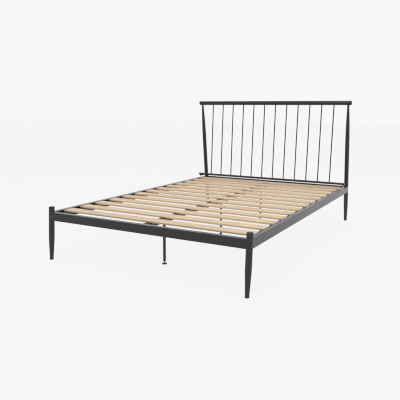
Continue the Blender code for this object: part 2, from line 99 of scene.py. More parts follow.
class Wiring:
    """Adds and joins nodes in one node tree."""

    def __init__(self, tree: bpy.types.NodeTree) -> None:
        """Keep the tree.

        Args:
            tree: A material's or a group's node tree.
        """
        self.tree = tree

    def add(self, kind: str, inputs: Optional[dict] = None, **settings: object) -> bpy.types.Node:
        """Add a node.

        Args:
            kind: The node's type name without its "ShaderNode" prefix.
            inputs: Values or source sockets by input name or number.
            settings: Properties of the node.

        Returns:
            The node.
        """
        node = self.tree.nodes.new("ShaderNode" + kind)
        for name, value in settings.items():
            setattr(node, name, value)
        for key, value in (inputs or {}).items():
            if isinstance(value, bpy.types.NodeSocket):
                self.tree.links.new(value, node.inputs[key])
            else:
                node.inputs[key].default_value = value
        return node

    def math(self, operation: str, *values: object) -> bpy.types.NodeSocket:
        """Add a Math node.

        Args:
            operation: Blender's name of the operation.
            values: Numbers or source sockets, in the node's order.

        Returns:
            The node's output.
        """
        return self.add("Math", dict(enumerate(values)), operation=operation).outputs[0]

    def ranged(self, value: bpy.types.NodeSocket, low: float, high: float,
               to_low: float, to_high: float) -> bpy.types.NodeSocket:
        """Map a value from one range to another, and clamp it.

        Args:
            value: The source socket.
            low: Value that becomes to_low.
            high: Value that becomes to_high.
            to_low: Lowest result.
            to_high: Highest result.

        Returns:
            The mapped value.
        """
        inputs = {0: value, 1: low, 2: high, 3: to_low, 4: to_high}
        return self.add("MapRange", inputs).outputs[0]

    def blend(self, share: bpy.types.NodeSocket, first: object,
              second: object) -> bpy.types.NodeSocket:
        """Mix two colours.

        Args:
            share: How much of the second colour shows, 0 to 1.
            first: Colour or source socket.
            second: Colour or source socket.

        Returns:
            The mixed colour.
        """
        node = self.add("Mix", {0: share, 6: first, 7: second}, data_type="RGBA")
        return node.outputs[2]

    def noise(self, place: bpy.types.NodeSocket, scale: object, detail: float = 3.0,
              roughness: float = 0.5) -> bpy.types.NodeSocket:
        """Add a noise texture.

        Args:
            place: Coordinates in metres.
            scale: Waves per metre, a number or a socket.
            detail: Octaves.
            roughness: Strength of each finer octave.

        Returns:
            Values around 0.5.
        """
        inputs = {"Vector": place, "Scale": scale, "Detail": detail, "Roughness": roughness}
        return self.add("TexNoise", inputs).outputs[0]


def new_group(name: str, inputs: dict[str, float], outputs: Sequence[str],
              ) -> tuple[bpy.types.NodeTree, Wiring, bpy.types.Node, bpy.types.Node]:
    """Start a shader node group.

    Args:
        name: The group's name.
        inputs: Default value of each float input, by name.
        outputs: Names of the float outputs.

    Returns:
        The group's tree, its wiring, its input node and its output node.
    """
    tree = bpy.data.node_groups.new(name, "ShaderNodeTree")
    for label, value in inputs.items():
        socket = tree.interface.new_socket(label, in_out="INPUT", socket_type="NodeSocketFloat")
        socket.default_value = value
    for label in outputs:
        tree.interface.new_socket(label, in_out="OUTPUT", socket_type="NodeSocketFloat")
    return tree, Wiring(tree), tree.nodes.new("NodeGroupInput"), tree.nodes.new("NodeGroupOutput")


def object_place(wiring: Wiring) -> bpy.types.NodeSocket:
    """The object's own coordinates, in metres."""
    return wiring.add("TexCoord").outputs["Object"]


def peel_group() -> bpy.types.NodeTree:
    """The fine orange peel and slow cloudiness of a sprayed or moulded skin.

    Returns:
        A group with the inputs Fine Scale, Broad Scale and Fine Share, and the outputs Height
        and Cloud.
    """
    inputs = {"Fine Scale": 900.0, "Broad Scale": 9.0, "Fine Share": 0.6}
    ripple_part = 0.22  # scale of the slow ripple as a part of the fine scale
    cloud_span = (0.3, 0.7)
    tree, wiring, source, target = new_group("skin_peel", inputs, ("Height", "Cloud"))
    place = object_place(wiring)
    fine = wiring.noise(place, source.outputs["Fine Scale"], 2.0)
    ripple_scale = wiring.math("MULTIPLY", source.outputs["Fine Scale"], ripple_part)
    ripple = wiring.noise(place, ripple_scale, 1.0)
    cloud = wiring.noise(place, source.outputs["Broad Scale"], 4.0, 0.6)
    share = source.outputs["Fine Share"]
    rest = wiring.math("SUBTRACT", 1.0, share)
    height = wiring.math("ADD", wiring.math("MULTIPLY", fine, share),
                         wiring.math("MULTIPLY", ripple, rest))
    tree.links.new(height, target.inputs["Height"])
    tree.links.new(wiring.ranged(cloud, *cloud_span, 0.0, 1.0), target.inputs["Cloud"])
    return tree


def dust_group() -> bpy.types.NodeTree:
    """Thin dust that settles on what faces up.

    Returns:
        A group with the inputs Amount and Scale and the output Mask.
    """
    inputs = {"Amount": 0.3, "Scale": 40.0}
    level_span = (0.55, 1.0)  # Z of the normal where dust starts to lie, and where it is full
    patch_span, thinnest = (0.35, 0.75), 0.2
    tree, wiring, source, target = new_group("settled_dust", inputs, ("Mask",))
    normal = wiring.add("NewGeometry").outputs["Normal"]
    upward = wiring.add("SeparateXYZ", {0: normal}).outputs["Z"]
    facing = wiring.ranged(upward, *level_span, 0.0, 1.0)
    patch = wiring.noise(object_place(wiring), source.outputs["Scale"], 5.0, 0.65)
    cover = wiring.math("MULTIPLY", facing, wiring.ranged(patch, *patch_span, thinnest, 1.0))
    tree.links.new(wiring.math("MULTIPLY", cover, source.outputs["Amount"]), target.inputs["Mask"])
    return tree


def wear_group() -> bpy.types.NodeTree:
    """Lighter colour along edges, broken up by noise: partly wear, partly a painted highlight on
    the edges.

    Returns:
        A group with the inputs Width, in metres, Amount and Scale, and the output Mask.
    """
    inputs = {"Width": 0.0015, "Amount": 0.5, "Scale": 60.0}
    edge_span = (0.97, 0.80)  # likeness of the eased and the true normal, from flat to edge
    patch_span = (0.42, 0.62)
    tree, wiring, source, target = new_group("edge_wear", inputs, ("Mask",))
    eased = wiring.add("Bevel", {"Radius": source.outputs["Width"]}, samples=4).outputs[0]
    flat = wiring.add("NewGeometry").outputs["Normal"]
    compare = wiring.add("VectorMath", {0: eased, 1: flat}, operation="DOT_PRODUCT")
    edge = wiring.ranged(compare.outputs["Value"], *edge_span, 0.0, 1.0)
    patch = wiring.noise(object_place(wiring), source.outputs["Scale"], 4.0, 0.6)
    broken = wiring.math("MULTIPLY", edge, wiring.ranged(patch, *patch_span, 0.0, 1.0))
    mask = wiring.math("MULTIPLY", broken, source.outputs["Amount"])
    tree.links.new(mask, target.inputs["Mask"])
    return tree


@dataclass
class Effects:
    """The shared node groups, built once."""

    peel: bpy.types.NodeTree = field(default_factory=peel_group)
    dust: bpy.types.NodeTree = field(default_factory=dust_group)
    # edge mask: part wear, part painted highlight along the edges
    wear: bpy.types.NodeTree = field(default_factory=wear_group)

    def use(self, wiring: Wiring, group: bpy.types.NodeTree, **values: float) -> bpy.types.Node:
        """Place a group in a material.

        Args:
            wiring: The material's wiring.
            group: One of this object's groups.
            values: Input values, with "_" for each space in the input's name.

        Returns:
            The group node.
        """
        node = wiring.add("Group", node_tree=group)
        for name, value in values.items():
            node.inputs[name.replace("_", " ")].default_value = value
        return node


def blank_material(name: str) -> tuple[Material, Wiring, bpy.types.Node]:
    """A new material.

    Args:
        name: The material's name.

    Returns:
        The material, its wiring and its Principled BSDF.
    """
    material = bpy.data.materials.new(name)
    material.use_nodes = True
    return material, Wiring(material.node_tree), material.node_tree.nodes["Principled BSDF"]


@dataclass(frozen=True)
class Coating:
    """A sprayed or moulded skin in one colour: powder coat, plastic or rubber.

    Colours are linear. Scales are in waves per metre, and peel_depth, the height of the skin's
    texture, and the edge mask's width are in metres. The lighter colour on the edges is partly
    wear and partly a painted highlight.
    """

    name: str
    slot: str
    colour: tuple[float, float, float]
    dust_colour: tuple[float, float, float] = (0.16, 0.15, 0.14)
    # lighter edge colour: part wear, part painted highlight
    worn_colour: tuple[float, float, float] = (0.05, 0.05, 0.05)
    roughness: tuple[float, float] = (0.17, 0.25)
    specular: float = 0.5
    peel_scale: float = 900.0
    peel_depth: float = 0.000012
    peel_strength: float = 0.6
    cloud_scale: float = 7.0
    dust: float = 0.10
    dust_scale: float = 35.0
    dust_dulling: float = 0.25
    wear: float = 0.35
    wear_scale: float = 45.0
    wear_width: float = 0.0012

    def material(self, effects: Effects) -> Material:
        """Build the material.

        Args:
            effects: The shared groups.

        Returns:
            The material.
        """
        material, wiring, shader = blank_material(self.name)
        links = material.node_tree.links
        peel = effects.use(wiring, effects.peel, Fine_Scale=self.peel_scale,
                           Broad_Scale=self.cloud_scale)
        dust = effects.use(wiring, effects.dust, Amount=self.dust, Scale=self.dust_scale)
        wear = effects.use(wiring, effects.wear, Width=self.wear_width, Amount=self.wear,
                           Scale=self.wear_scale)
        # edges turn to the lighter edge colour: part wear, part painted highlight
        worn_and_highlit = wiring.blend(wear.outputs["Mask"], (*self.colour, 1), (*self.worn_colour, 1))
        dusty = wiring.blend(dust.outputs["Mask"], worn_and_highlit, (*self.dust_colour, 1))
        links.new(dusty, shader.inputs["Base Color"])
        sheen = wiring.ranged(peel.outputs["Cloud"], 0.0, 1.0, *self.roughness)
        dulling = wiring.math("MULTIPLY", dust.outputs["Mask"], self.dust_dulling)
        links.new(wiring.math("ADD", sheen, dulling), shader.inputs["Roughness"])
        bump = wiring.add("Bump", {"Strength": self.peel_strength, "Distance": self.peel_depth,
                                   "Height": peel.outputs["Height"]})
        links.new(bump.outputs[0], shader.inputs["Normal"])
        shader.inputs["Specular IOR Level"].default_value = self.specular
        return material


@dataclass(frozen=True)
class Plywood:
    """Sanded pale plywood: long grain on the faces, glued layers on the edges.

    Colours are linear. The scales are waves per metre along X, Y and Z, and thickness and
    grain_depth are in metres. edge_span is how level a surface is where the sawn edge ends and
    the face begins, and shift is how far the grain moves along X and Y from board to board.
    """

    name: str = "birch_plywood"
    slot: str = "slat_plywood"
    pale: tuple[float, float, float] = (0.66, 0.51, 0.35)
    dark: tuple[float, float, float] = (0.45, 0.31, 0.185)
    end_grain: tuple[float, float, float] = (0.30, 0.19, 0.105)
    dust_colour: tuple[float, float, float] = (0.5, 0.48, 0.44)
    grain_scale: tuple[float, float, float] = (1.6, 26.0, 26.0)
    pore_scale: tuple[float, float, float] = (12.0, 420.0, 420.0)
    growth_rings: float = 38.0
    ring_share: float = 0.55
    pore_share: float = 0.45
    layers: int = 7
    thickness: float = 0.012
    layer_depth: float = 0.75
    darkest_board: float = 0.22
    edge_span: tuple[float, float] = (0.35, 0.55)
    pore_span: tuple[float, float] = (0.35, 0.70)
    shift: tuple[float, float] = (7.0, 3.0)
    roughness: tuple[float, float] = (0.48, 0.62)
    specular: float = 0.35
    grain_depth: float = 0.00008
    grain_strength: float = 0.5
    dust: float = 0.06
    dust_scale: float = 25.0

    def material(self, effects: Effects) -> Material:
        """Build the material.

        Args:
            effects: The shared groups.

        Returns:
            The material.
        """
        material, wiring, shader = blank_material(self.name)
        links = material.node_tree.links
        place = object_place(wiring)
        seed = wiring.add("ObjectInfo").outputs["Random"]
        grain = self._grain(wiring, place, seed)
        face = wiring.blend(grain, (*self.pale, 1), (*self.dark, 1))
        normal = wiring.add("NewGeometry").outputs["Normal"]
        level = wiring.math("ABSOLUTE", wiring.add("SeparateXYZ", {0: normal}).outputs["Z"])
        body = wiring.blend(wiring.ranged(level, *self.edge_span, 1.0, 0.0), face,
                            self._layered(wiring, place))
        darkening = wiring.math("MULTIPLY", seed, self.darkest_board)
        shade = wiring.blend(darkening, body, (*self.dark, 1))
        dust = effects.use(wiring, effects.dust, Amount=self.dust, Scale=self.dust_scale)
        links.new(wiring.blend(dust.outputs["Mask"], shade, (*self.dust_colour, 1)),
                  shader.inputs["Base Color"])
        links.new(wiring.ranged(grain, 0.0, 1.0, *self.roughness), shader.inputs["Roughness"])
        bump = wiring.add("Bump", {"Strength": self.grain_strength,
                                   "Distance": self.grain_depth, "Height": grain})
        links.new(bump.outputs[0], shader.inputs["Normal"])
        shader.inputs["Specular IOR Level"].default_value = self.specular
        return material

    def _grain(self, wiring: Wiring, place: bpy.types.NodeSocket,
               seed: bpy.types.NodeSocket) -> bpy.types.NodeSocket:
        """Long grain of one board: growth rings and fine pores.

        Args:
            wiring: The material's wiring.
            place: The board's own coordinates.
            seed: The board's random number, which moves the grain along.

        Returns:
            0 in the pale wood to 1 in the dark wood.
        """
        offset = wiring.add("CombineXYZ", {axis: wiring.math("MULTIPLY", seed, most)
                                           for axis, most in enumerate(self.shift)}).outputs[0]
        moved = wiring.add("VectorMath", {0: place, 1: offset}, operation="ADD").outputs[0]
        long = wiring.add("Mapping", {"Vector": moved, "Scale": self.grain_scale}).outputs[0]
        bands = wiring.noise(long, 1.0, 4.0, 0.55)
        thin = wiring.add("Mapping", {"Vector": moved, "Scale": self.pore_scale}).outputs[0]
        pores = wiring.noise(thin, 1.0, 3.0, 0.6)
        rings = wiring.math("SINE", wiring.math("MULTIPLY", bands, self.growth_rings))
        return wiring.math("ADD", wiring.ranged(rings, -1.0, 1.0, 0.0, self.ring_share),
                           wiring.ranged(pores, *self.pore_span, 0.0, self.pore_share))

    def _layered(self, wiring: Wiring, place: bpy.types.NodeSocket) -> bpy.types.NodeSocket:
        """Colour of a sawn edge, with its glued layers.

        Args:
            wiring: The material's wiring.
            place: The board's own coordinates.

        Returns:
            The edge's colour.
        """
        depth = wiring.add("SeparateXYZ", {0: place}).outputs["Z"]
        turns = wiring.math("MULTIPLY", depth, math.pi * self.layers / self.thickness)
        layer = wiring.ranged(wiring.math("COSINE", turns), -0.25, 0.25, 0.0, 1.0)
        return wiring.blend(wiring.math("MULTIPLY", layer, self.layer_depth), (*self.pale, 1),
                            (*self.end_grain, 1))


@dataclass(frozen=True)
class Plating:
    """Zinc plate on steel: pale metal with faint cloudiness and a fine skin texture."""

    name: str = "zinc_plate"
    slot: str = "plated_stud"
    colour: tuple[float, float, float] = (0.60, 0.60, 0.58)
    dull_colour: tuple[float, float, float] = (0.42, 0.42, 0.40)
    roughness: tuple[float, float] = (0.28, 0.46)
    peel_scale: float = 1800.0
    peel_share: float = 0.8
    peel_depth: float = 0.00002
    peel_strength: float = 0.4
    cloud_scale: float = 120.0

    def material(self, effects: Effects) -> Material:
        """Build the material.

        Args:
            effects: The shared groups.

        Returns:
            The material.
        """
        material, wiring, shader = blank_material(self.name)
        links = material.node_tree.links
        peel = effects.use(wiring, effects.peel, Fine_Scale=self.peel_scale,
                           Broad_Scale=self.cloud_scale, Fine_Share=self.peel_share)
        cloud = peel.outputs["Cloud"]
        links.new(wiring.blend(cloud, (*self.colour, 1), (*self.dull_colour, 1)),
                  shader.inputs["Base Color"])
        links.new(wiring.ranged(cloud, 0.0, 1.0, *self.roughness), shader.inputs["Roughness"])
        bump = wiring.add("Bump", {"Strength": self.peel_strength, "Distance": self.peel_depth,
                                   "Height": peel.outputs["Height"]})
        links.new(bump.outputs[0], shader.inputs["Normal"])
        shader.inputs["Metallic"].default_value = 1.0
        return material


POWDER_COAT = Coating("black_powder_coat", "frame_paint", (0.0075, 0.0075, 0.0080))
ROD_COAT = Coating("black_powder_coat_on_rod", "spindle_paint", (0.0075, 0.0075, 0.0080), wear=0.0)
CAP_PLASTIC = Coating("moulded_cap_plastic", "cap_plastic", (0.0060, 0.0060, 0.0060),
                      roughness=(0.50, 0.58), peel_scale=2200.0, peel_depth=0.00002, wear=0.15)
GLIDE_PLASTIC = Coating("moulded_glide_plastic", "glide_plastic", (0.0055, 0.0055, 0.0055),
                        roughness=(0.52, 0.62), peel_scale=2200.0, peel_depth=0.00002, dust=0.25)
PAD_RUBBER = Coating("levelling_pad_rubber", "pad_rubber", (0.012, 0.012, 0.012),
                     roughness=(0.68, 0.80), peel_scale=1500.0, peel_depth=0.00004, dust=0.35,
                     specular=0.35)
# its lighter edges are part wear, part painted highlight
BOLT_BLACK = Coating("black_oxide_bolt", "frame_paint", (0.016, 0.016, 0.017),
                     roughness=(0.36, 0.5), peel_scale=2600.0, peel_depth=0.00001, wear=0.5,
                     wear_width=0.0005, worn_colour=(0.10, 0.10, 0.10))
PLYWOOD = Plywood()
ZINC = Plating()


class Finishes:
    """Each finish's material, built when it is first asked for."""

    def __init__(self) -> None:
        """Build the shared effects."""
        self.effects = Effects()
        self.made: dict[str, Material] = {}

    def dress(self, piece: Piece, finish: object) -> Piece:
        """Give a piece its material.

        Args:
            piece: The piece.
            finish: A Coating, Plywood or Plating.

        Returns:
            The piece.
        """
        if finish.name not in self.made:
            self.made[finish.name] = finish.material(self.effects)
        if not piece.data.materials:
            piece.data.materials.append(self.made[finish.name])
        return piece


# Mesh building

def new_piece(name: str, mesh: bpy.types.Mesh, location: Sequence[float] = (0, 0, 0)) -> Piece:
    """Link an object that shows a mesh.

    Args:
        name: The piece's name.
        mesh: Its mesh.
        location: Where its origin is.

    Returns:
        The piece.
    """
    piece = bpy.data.objects.new(name, mesh)
    piece.location = location
    bpy.context.scene.collection.objects.link(piece)
    return piece


def smooth_mesh(build: bmesh.types.BMesh, name: str,
                sharp_degrees: float = SHARP_DEGREES) -> bpy.types.Mesh:
    """Turn a bmesh into a smooth-shaded mesh with outward faces.

    Args:
        build: The bmesh, which is freed.
        name: The mesh's name.
        sharp_degrees: Edges that bend more than this stay sharp.

    Returns:
        The mesh.
    """
    bmesh.ops.recalc_face_normals(build, faces=build.faces)
    mesh = bpy.data.meshes.new(name)
    build.to_mesh(mesh)
    build.free()
    mesh.shade_smooth()
    mesh.set_sharp_from_angle(angle=math.radians(sharp_degrees))
    return mesh


def ring(place: Place, along: float, radius: float, sides: int = 64) -> Points:
    """Points of one circle of a turned piece.

    Args:
        place: Gives a point from its place along the axis and its two offsets from the axis.
        along: The circle's place along the axis.
        radius: Its radius; 0 gives a single point.
        sides: Number of points.

    Returns:
        The points.
    """
    if radius == 0:
        return [place(along, 0.0, 0.0)]
    turns = [2 * math.pi * step / sides for step in range(sides)]
    return [place(along, radius * math.cos(turn), radius * math.sin(turn)) for turn in turns]


def join(build: bmesh.types.BMesh, near: list, far: list) -> None:
    """Make the faces between two rings of vertices, either of which may be a single point.

    Args:
        build: The bmesh.
        near: First ring.
        far: Second ring.
    """
    count = max(len(near), len(far))
    for step in range(count):
        after = (step + 1) % count
        corners = [near[step % len(near)], near[after % len(near)],
                   far[after % len(far)], far[step % len(far)]]
        build.faces.new(list(dict.fromkeys(corners)))


def skinned(name: str, rings: Sequence[Points], looped: bool = False,
            sharp_degrees: float = SHARP_DEGREES) -> bpy.types.Mesh:
    """Skin a row of rings.

    Args:
        name: The mesh's name.
        rings: Rings of points, in order.
        looped: Whether the last ring joins the first.
        sharp_degrees: Edges that bend more than this stay sharp.

    Returns:
        The mesh.
    """
    build = bmesh.new()
    loops = [[build.verts.new(point) for point in points] for points in rings]
    pairs = list(zip(loops, loops[1:]))
    if looped:
        pairs.append((loops[-1], loops[0]))
    for near, far in pairs:
        join(build, near, far)
    return smooth_mesh(build, name, sharp_degrees)


def turned(name: str, stations: Sequence[tuple[float, float]], place: Place, sides: int = 64,
           looped: bool = False) -> bpy.types.Mesh:
    """A turned body.

    Args:
        name: The mesh's name.
        stations: Place along the axis and radius of each ring.
        place: Places a point, as ring says.
        sides: Points in each ring.
        looped: Whether the profile closes on itself, as a tube's does.

    Returns:
        The mesh.
    """
    return skinned(name, [ring(place, along, radius, sides) for along, radius in stations], looped)


def rounded(stations: Sequence[tuple[float, float]], radius: float, steps: int = 4,
            ) -> list[tuple[float, float]]:
    """Round a profile's inner corners.

    Args:
        stations: The profile's corners; the first and last stay as they are.
        radius: How far from the corner the rounding starts, which a short side limits.
        steps: Points in each rounding.

    Returns:
        The rounded profile.
    """
    longest = 0.49  # part of a side that one rounding may take
    result = [tuple(stations[0])]
    for before, corner, after in zip(stations, stations[1:], stations[2:]):
        middle = Vector(corner)
        arms = [Vector(before) - middle, Vector(after) - middle]
        reach = min([radius] + [arm.length * longest for arm in arms])
        start, finish = (middle + arm.normalized() * reach for arm in arms)
        for step in range(steps + 1):
            share = step / steps
            near = start.lerp(middle, share)
            result.append(tuple(near.lerp(middle.lerp(finish, share), share)))
    result.append(tuple(stations[-1]))
    return result


def upright(x: float, y: float, z: float = 0.0) -> Place:
    """Place a turned piece on a vertical axis at x and y, measured up from z."""
    return lambda along, a, b: (x + a, y + b, z + along)


def sideways(y: float, z: float, way: int = 1) -> Place:
    """Place a turned piece on an axis along X, in the direction of way."""
    return lambda along, a, b: (way * along, y + a, z + b)


def bent(corners: Sequence[tuple[float, float]], radii: dict[int, float],
         ) -> list[tuple[float, float]]:
    """Round each corner of a closed outline by its own radius.

    Args:
        corners: The outline's corners, in order.
        radii: Rounding of each corner, by its number.

    Returns:
        The rounded outline.
    """
    points = []
    for number, corner in enumerate(corners):
        three = [corners[number - 1], corner, corners[(number + 1) % len(corners)]]
        points += rounded(three, radii[number], 5)[1:-1]
    return points


def along_bed(along: float, a: float, b: float) -> tuple[float, float, float]:
    """Place a bar that runs along the bed, with its outline in X and Z."""
    return (a, along, b)


def extruded(name: str, outline: Sequence[tuple[float, float]], place: Place,
             ends: tuple[float, float], edge: float) -> bpy.types.Mesh:
    """A bar or plate with one outline and slightly rounded edges round its two end faces.

    Args:
        name: The mesh's name.
        outline: The outline's points, in order.
        place: Gives a point from its place along the bar and its two outline coordinates.
        ends: Where the bar starts and ends.
        edge: Rounding of the end faces' edges.

    Returns:
        The mesh.
    """
    build = bmesh.new()
    caps = []
    for along in ends:
        caps.append([build.verts.new(place(along, a, b)) for a, b in outline])
    join(build, caps[0], caps[1])
    faces = [build.faces.new(cap) for cap in caps]
    bmesh.ops.recalc_face_normals(build, faces=build.faces)
    rims = list({rim for face in faces for rim in face.edges})
    bmesh.ops.bevel(build, geom=rims, offset=edge, segments=2, affect="EDGES", clamp_overlap=True)
    return smooth_mesh(build, name)


def bead(name: str, path: Sequence[Vector], radius: float, ripple: float = 0.14,
         wave: float = 0.0032, spacing: float = 0.0012, closed: bool = True) -> bpy.types.Mesh:
    """A weld bead under paint: a thin roll along a path, with the faint ripples of welding.

    Args:
        name: The mesh's name.
        path: Points that the bead follows.
        radius: The bead's mean radius.
        ripple: Share of the radius that the ripples take.
        wave: Length of one ripple.
        spacing: Distance between the bead's rings.
        closed: Whether the path closes on itself.

    Returns:
        The mesh.
    """
    sides = 8
    stops = list(path) + ([path[0]] if closed else [])
    lengths = [(b - a).length for a, b in zip(stops, stops[1:])]
    total = sum(lengths)
    count = max(8, int(total / spacing))
    marks, walked, leg = [], 0.0, 0
    for step in range(count if closed else count + 1):
        target = total * step / count
        while leg < len(lengths) - 1 and walked + lengths[leg] < target:
            walked += lengths[leg]
            leg += 1
        share = (target - walked) / max(lengths[leg], 1e-9)
        marks.append(stops[leg].lerp(stops[leg + 1], share))
    centre = sum(marks, Vector()) / len(marks)
    rings = []
    for step, point in enumerate(marks):
        before = marks[step - 1] if closed or step else point
        after = marks[(step + 1) % count] if closed else marks[min(step + 1, len(marks) - 1)]
        tangent = (after - before).normalized()
        outward = (point - centre) - tangent * (point - centre).dot(tangent)
        outward.normalize()
        third = tangent.cross(outward)
        size = radius * (1 + ripple * math.cos(2 * math.pi * total * step / count / wave))
        turns = [2 * math.pi * turn / sides for turn in range(sides)]
        rings.append([tuple(point + (outward * math.cos(turn) + third * math.sin(turn)) * size)
                      for turn in turns])
    if not closed:
        rings = [[tuple(marks[0])]] + rings + [[tuple(marks[-1])]]
    return skinned(name, rings, looped=closed, sharp_degrees=80.0)


def merged(name: str, meshes: Sequence[bpy.types.Mesh], moves: Sequence[Matrix]) -> bpy.types.Mesh:
    """Join copies of meshes into one mesh.

    Args:
        name: The new mesh's name.
        meshes: One mesh for each move.
        moves: Where each copy goes.

    Returns:
        The mesh.
    """
    build = bmesh.new()
    for mesh, move in zip(meshes, moves):
        start = len(build.verts)
        build.from_mesh(mesh)
        build.verts.ensure_lookup_table()
        bmesh.ops.transform(build, matrix=move, verts=build.verts[start:])
    result = bpy.data.meshes.new(name)
    build.to_mesh(result)
    build.free()
    return result


def middle_of(node: str) -> Vector:
    """The middle of a node's box."""
    low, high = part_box(node)
    return (low + high) / 2


@dataclass(frozen=True)
class RoundRail:
    """A round rail along X, as it lies in the frame: its middle, its radius and its end's X."""

    middle: Vector
    radius: float
    end_x: float

    @classmethod
    def read(cls, node: str) -> "RoundRail":
        """Read a rail from its node's box.

        Args:
            node: The rail's node.

        Returns:
            The rail.
        """
        low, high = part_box(node)
        return cls((low + high) / 2, (high.z - low.z) / 2, high.x)

    def under(self, y: float) -> float:
        """Height just inside the rail's underside at y."""
        return self.middle.z + SINK - math.sqrt(self.radius ** 2 - (y - self.middle.y) ** 2)

    def over(self, y: float) -> float:
        """Height just inside the rail's upper side at y."""
        return self.middle.z - SINK + math.sqrt(self.radius ** 2 - (y - self.middle.y) ** 2)


def place_piece(piece: Piece, body: str, *nodes: str) -> Piece:
    """Set a piece on its body in place of nodes of the frame.

    Args:
        piece: The piece.
        body: The body it rides on.
        nodes: The nodes it stands for.

    Returns:
        The piece.
    """
    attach(piece, body)
    if nodes:
        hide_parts(*nodes)
    LOG.info("%s: %d faces, stands for %s", piece.name, len(piece.data.polygons),
             list(nodes) or "no node")
    return piece


@dataclass(frozen=True)
class Screw:
    """A bolt or screw head on a short shank, modelled pointing along its own +Z.

    The parts are shares of the head's radius or height, or of the recess's size: land_part
    and rim_part are where the dome and its flat top end, slot_part is half a cross recess's
    slot, and core_part the reach of its middle in half slots.
    """

    radius: float
    height: float
    drive: Drive
    drive_size: float
    drive_depth: float
    washer_radius: float = 0.0
    washer_height: float = 0.001
    shank: float = 0.002
    shank_part: float = 0.55
    wall_part: float = 0.35
    dome_steps: int = 6
    land_part: float = 1.15
    rim_part: float = 1.12
    slot_part: float = 0.22
    core_part: float = 1.3
    sides: int = 48

    def mesh(self, name: str) -> bpy.types.Mesh:
        """Build the head, with its recess and its washer.

        Args:
            name: The mesh's name.

        Returns:
            The mesh.
        """
        place = upright(0, 0)
        base = self.washer_height if self.washer_radius else 0.0
        top = base + self.height
        floor = top - self.drive_depth
        neck = self.radius * self.shank_part
        profile = [(-self.shank, 0), (-self.shank, neck), (0, neck)]
        if self.washer_radius:
            profile += [(0, self.washer_radius), (base, self.washer_radius)]
        wall = base + self.height * self.wall_part
        profile += [(base, self.radius), (wall, self.radius)]
        land = self.drive_size * self.land_part
        for step in range(1, self.dome_steps):
            turn = math.radians(90 * step / self.dome_steps)
            rise = self.wall_part + (1 - self.wall_part) * math.sin(turn)
            profile.append((base + self.height * rise,
                            land + (self.radius - land) * math.cos(turn)))
        profile.append((top, self.drive_size * self.rim_part))
        rings = [ring(place, along, size, self.sides) for along, size in profile]
        for height in (top, floor):
            rings.append([self._recess(2 * math.pi * step / self.sides, height)
                          for step in range(self.sides)])
        rings.append([(0, 0, floor)])
        return skinned(name, rings, sharp_degrees=30.0)

    def _recess(self, turn: float, height: float) -> tuple[float, float, float]:
        """A point of the recess's outline.

        Args:
            turn: Turn round the axis, in radians.
            height: The point's height.

        Returns:
            The point.
        """
        if self.drive is Drive.HEXAGON:
            part = math.pi / 3
            reach = self.drive_size * math.cos(part / 2) / math.cos((turn % part) - part / 2)
        else:
            quarter = ((turn + math.pi / 4) % (math.pi / 2)) - math.pi / 4
            half_slot = self.drive_size * self.slot_part
            reach = min(self.drive_size, half_slot / max(abs(math.sin(quarter)), 1e-6))
            reach = max(reach, half_slot * self.core_part)
        return (reach * math.cos(turn), reach * math.sin(turn), height)


# Posts

@dataclass(frozen=True)
class Lean:
    """A post's axis: a straight line that leans along Y."""

    x: float
    floor_y: float
    top_y: float
    height: float

    def y(self, z: float) -> float:
        """Y of the axis at a height."""
        return self.floor_y + (self.top_y - self.floor_y) * z / self.height

    def place(self) -> Place:
        """The placing rule of a piece that is turned on this axis."""
        return lambda along, a, b: (self.x + a, self.y(along) + b, along)


@dataclass
class Glide:
    """A plastic foot under a post, with a groove round its upper part and one in its sole."""

    radius: float = 0.0135
    height: float = 0.008
    edge: float = 0.0018
    groove: float = 0.0007
    sole: float = 0.0004

    def mesh(self, name: str, lean: Lean) -> bpy.types.Mesh:
        """Build the part of the glide that shows.

        Args:
            name: The mesh's name.
            lean: The post's axis.

        Returns:
            The mesh.
        """
        full, waist = self.radius, self.radius - self.groove
        stations = [(0, 0), (0, full * 0.72), (self.sole, full * 0.75), (self.sole, full * 0.80),
                    (0, full * 0.83), (0, full), (self.height * 0.70, full),
                    (self.height * 0.76, waist), (self.height * 0.86, waist),
                    (self.height, full - 0.0003), (self.height + SINK, full * 0.9),
                    (self.height + SINK, 0)]
        return turned(name, rounded(stations, self.edge), lean.place())


@dataclass
class PostShape:
    """Outer shape shared by the posts: a tube that narrows to its glide."""

    radius: float
    tip_radius: float = 0.013
    taper_top: float = 0.150
    bottom: float = 0.0083
    lip: float = 0.0006
    soft: float = 0.014
    soft_steps: int = 6

    def lower_stations(self) -> list[tuple[float, float]]:
        """Rings from the glide up to where the taper ends, softly.

        Returns:
            Height and radius of each ring.
        """
        stations = [(self.bottom, self.tip_radius - self.lip),
                    (self.bottom + self.lip, self.tip_radius)]
        slope = (self.radius - self.tip_radius) / (self.taper_top - self.bottom)
        for step in range(self.soft_steps + 1):
            share = step / self.soft_steps
            height = self.taper_top - self.soft + 2 * self.soft * share
            stations.append((height, self.radius - slope * self.soft * (1 - share) ** 2))
        return stations


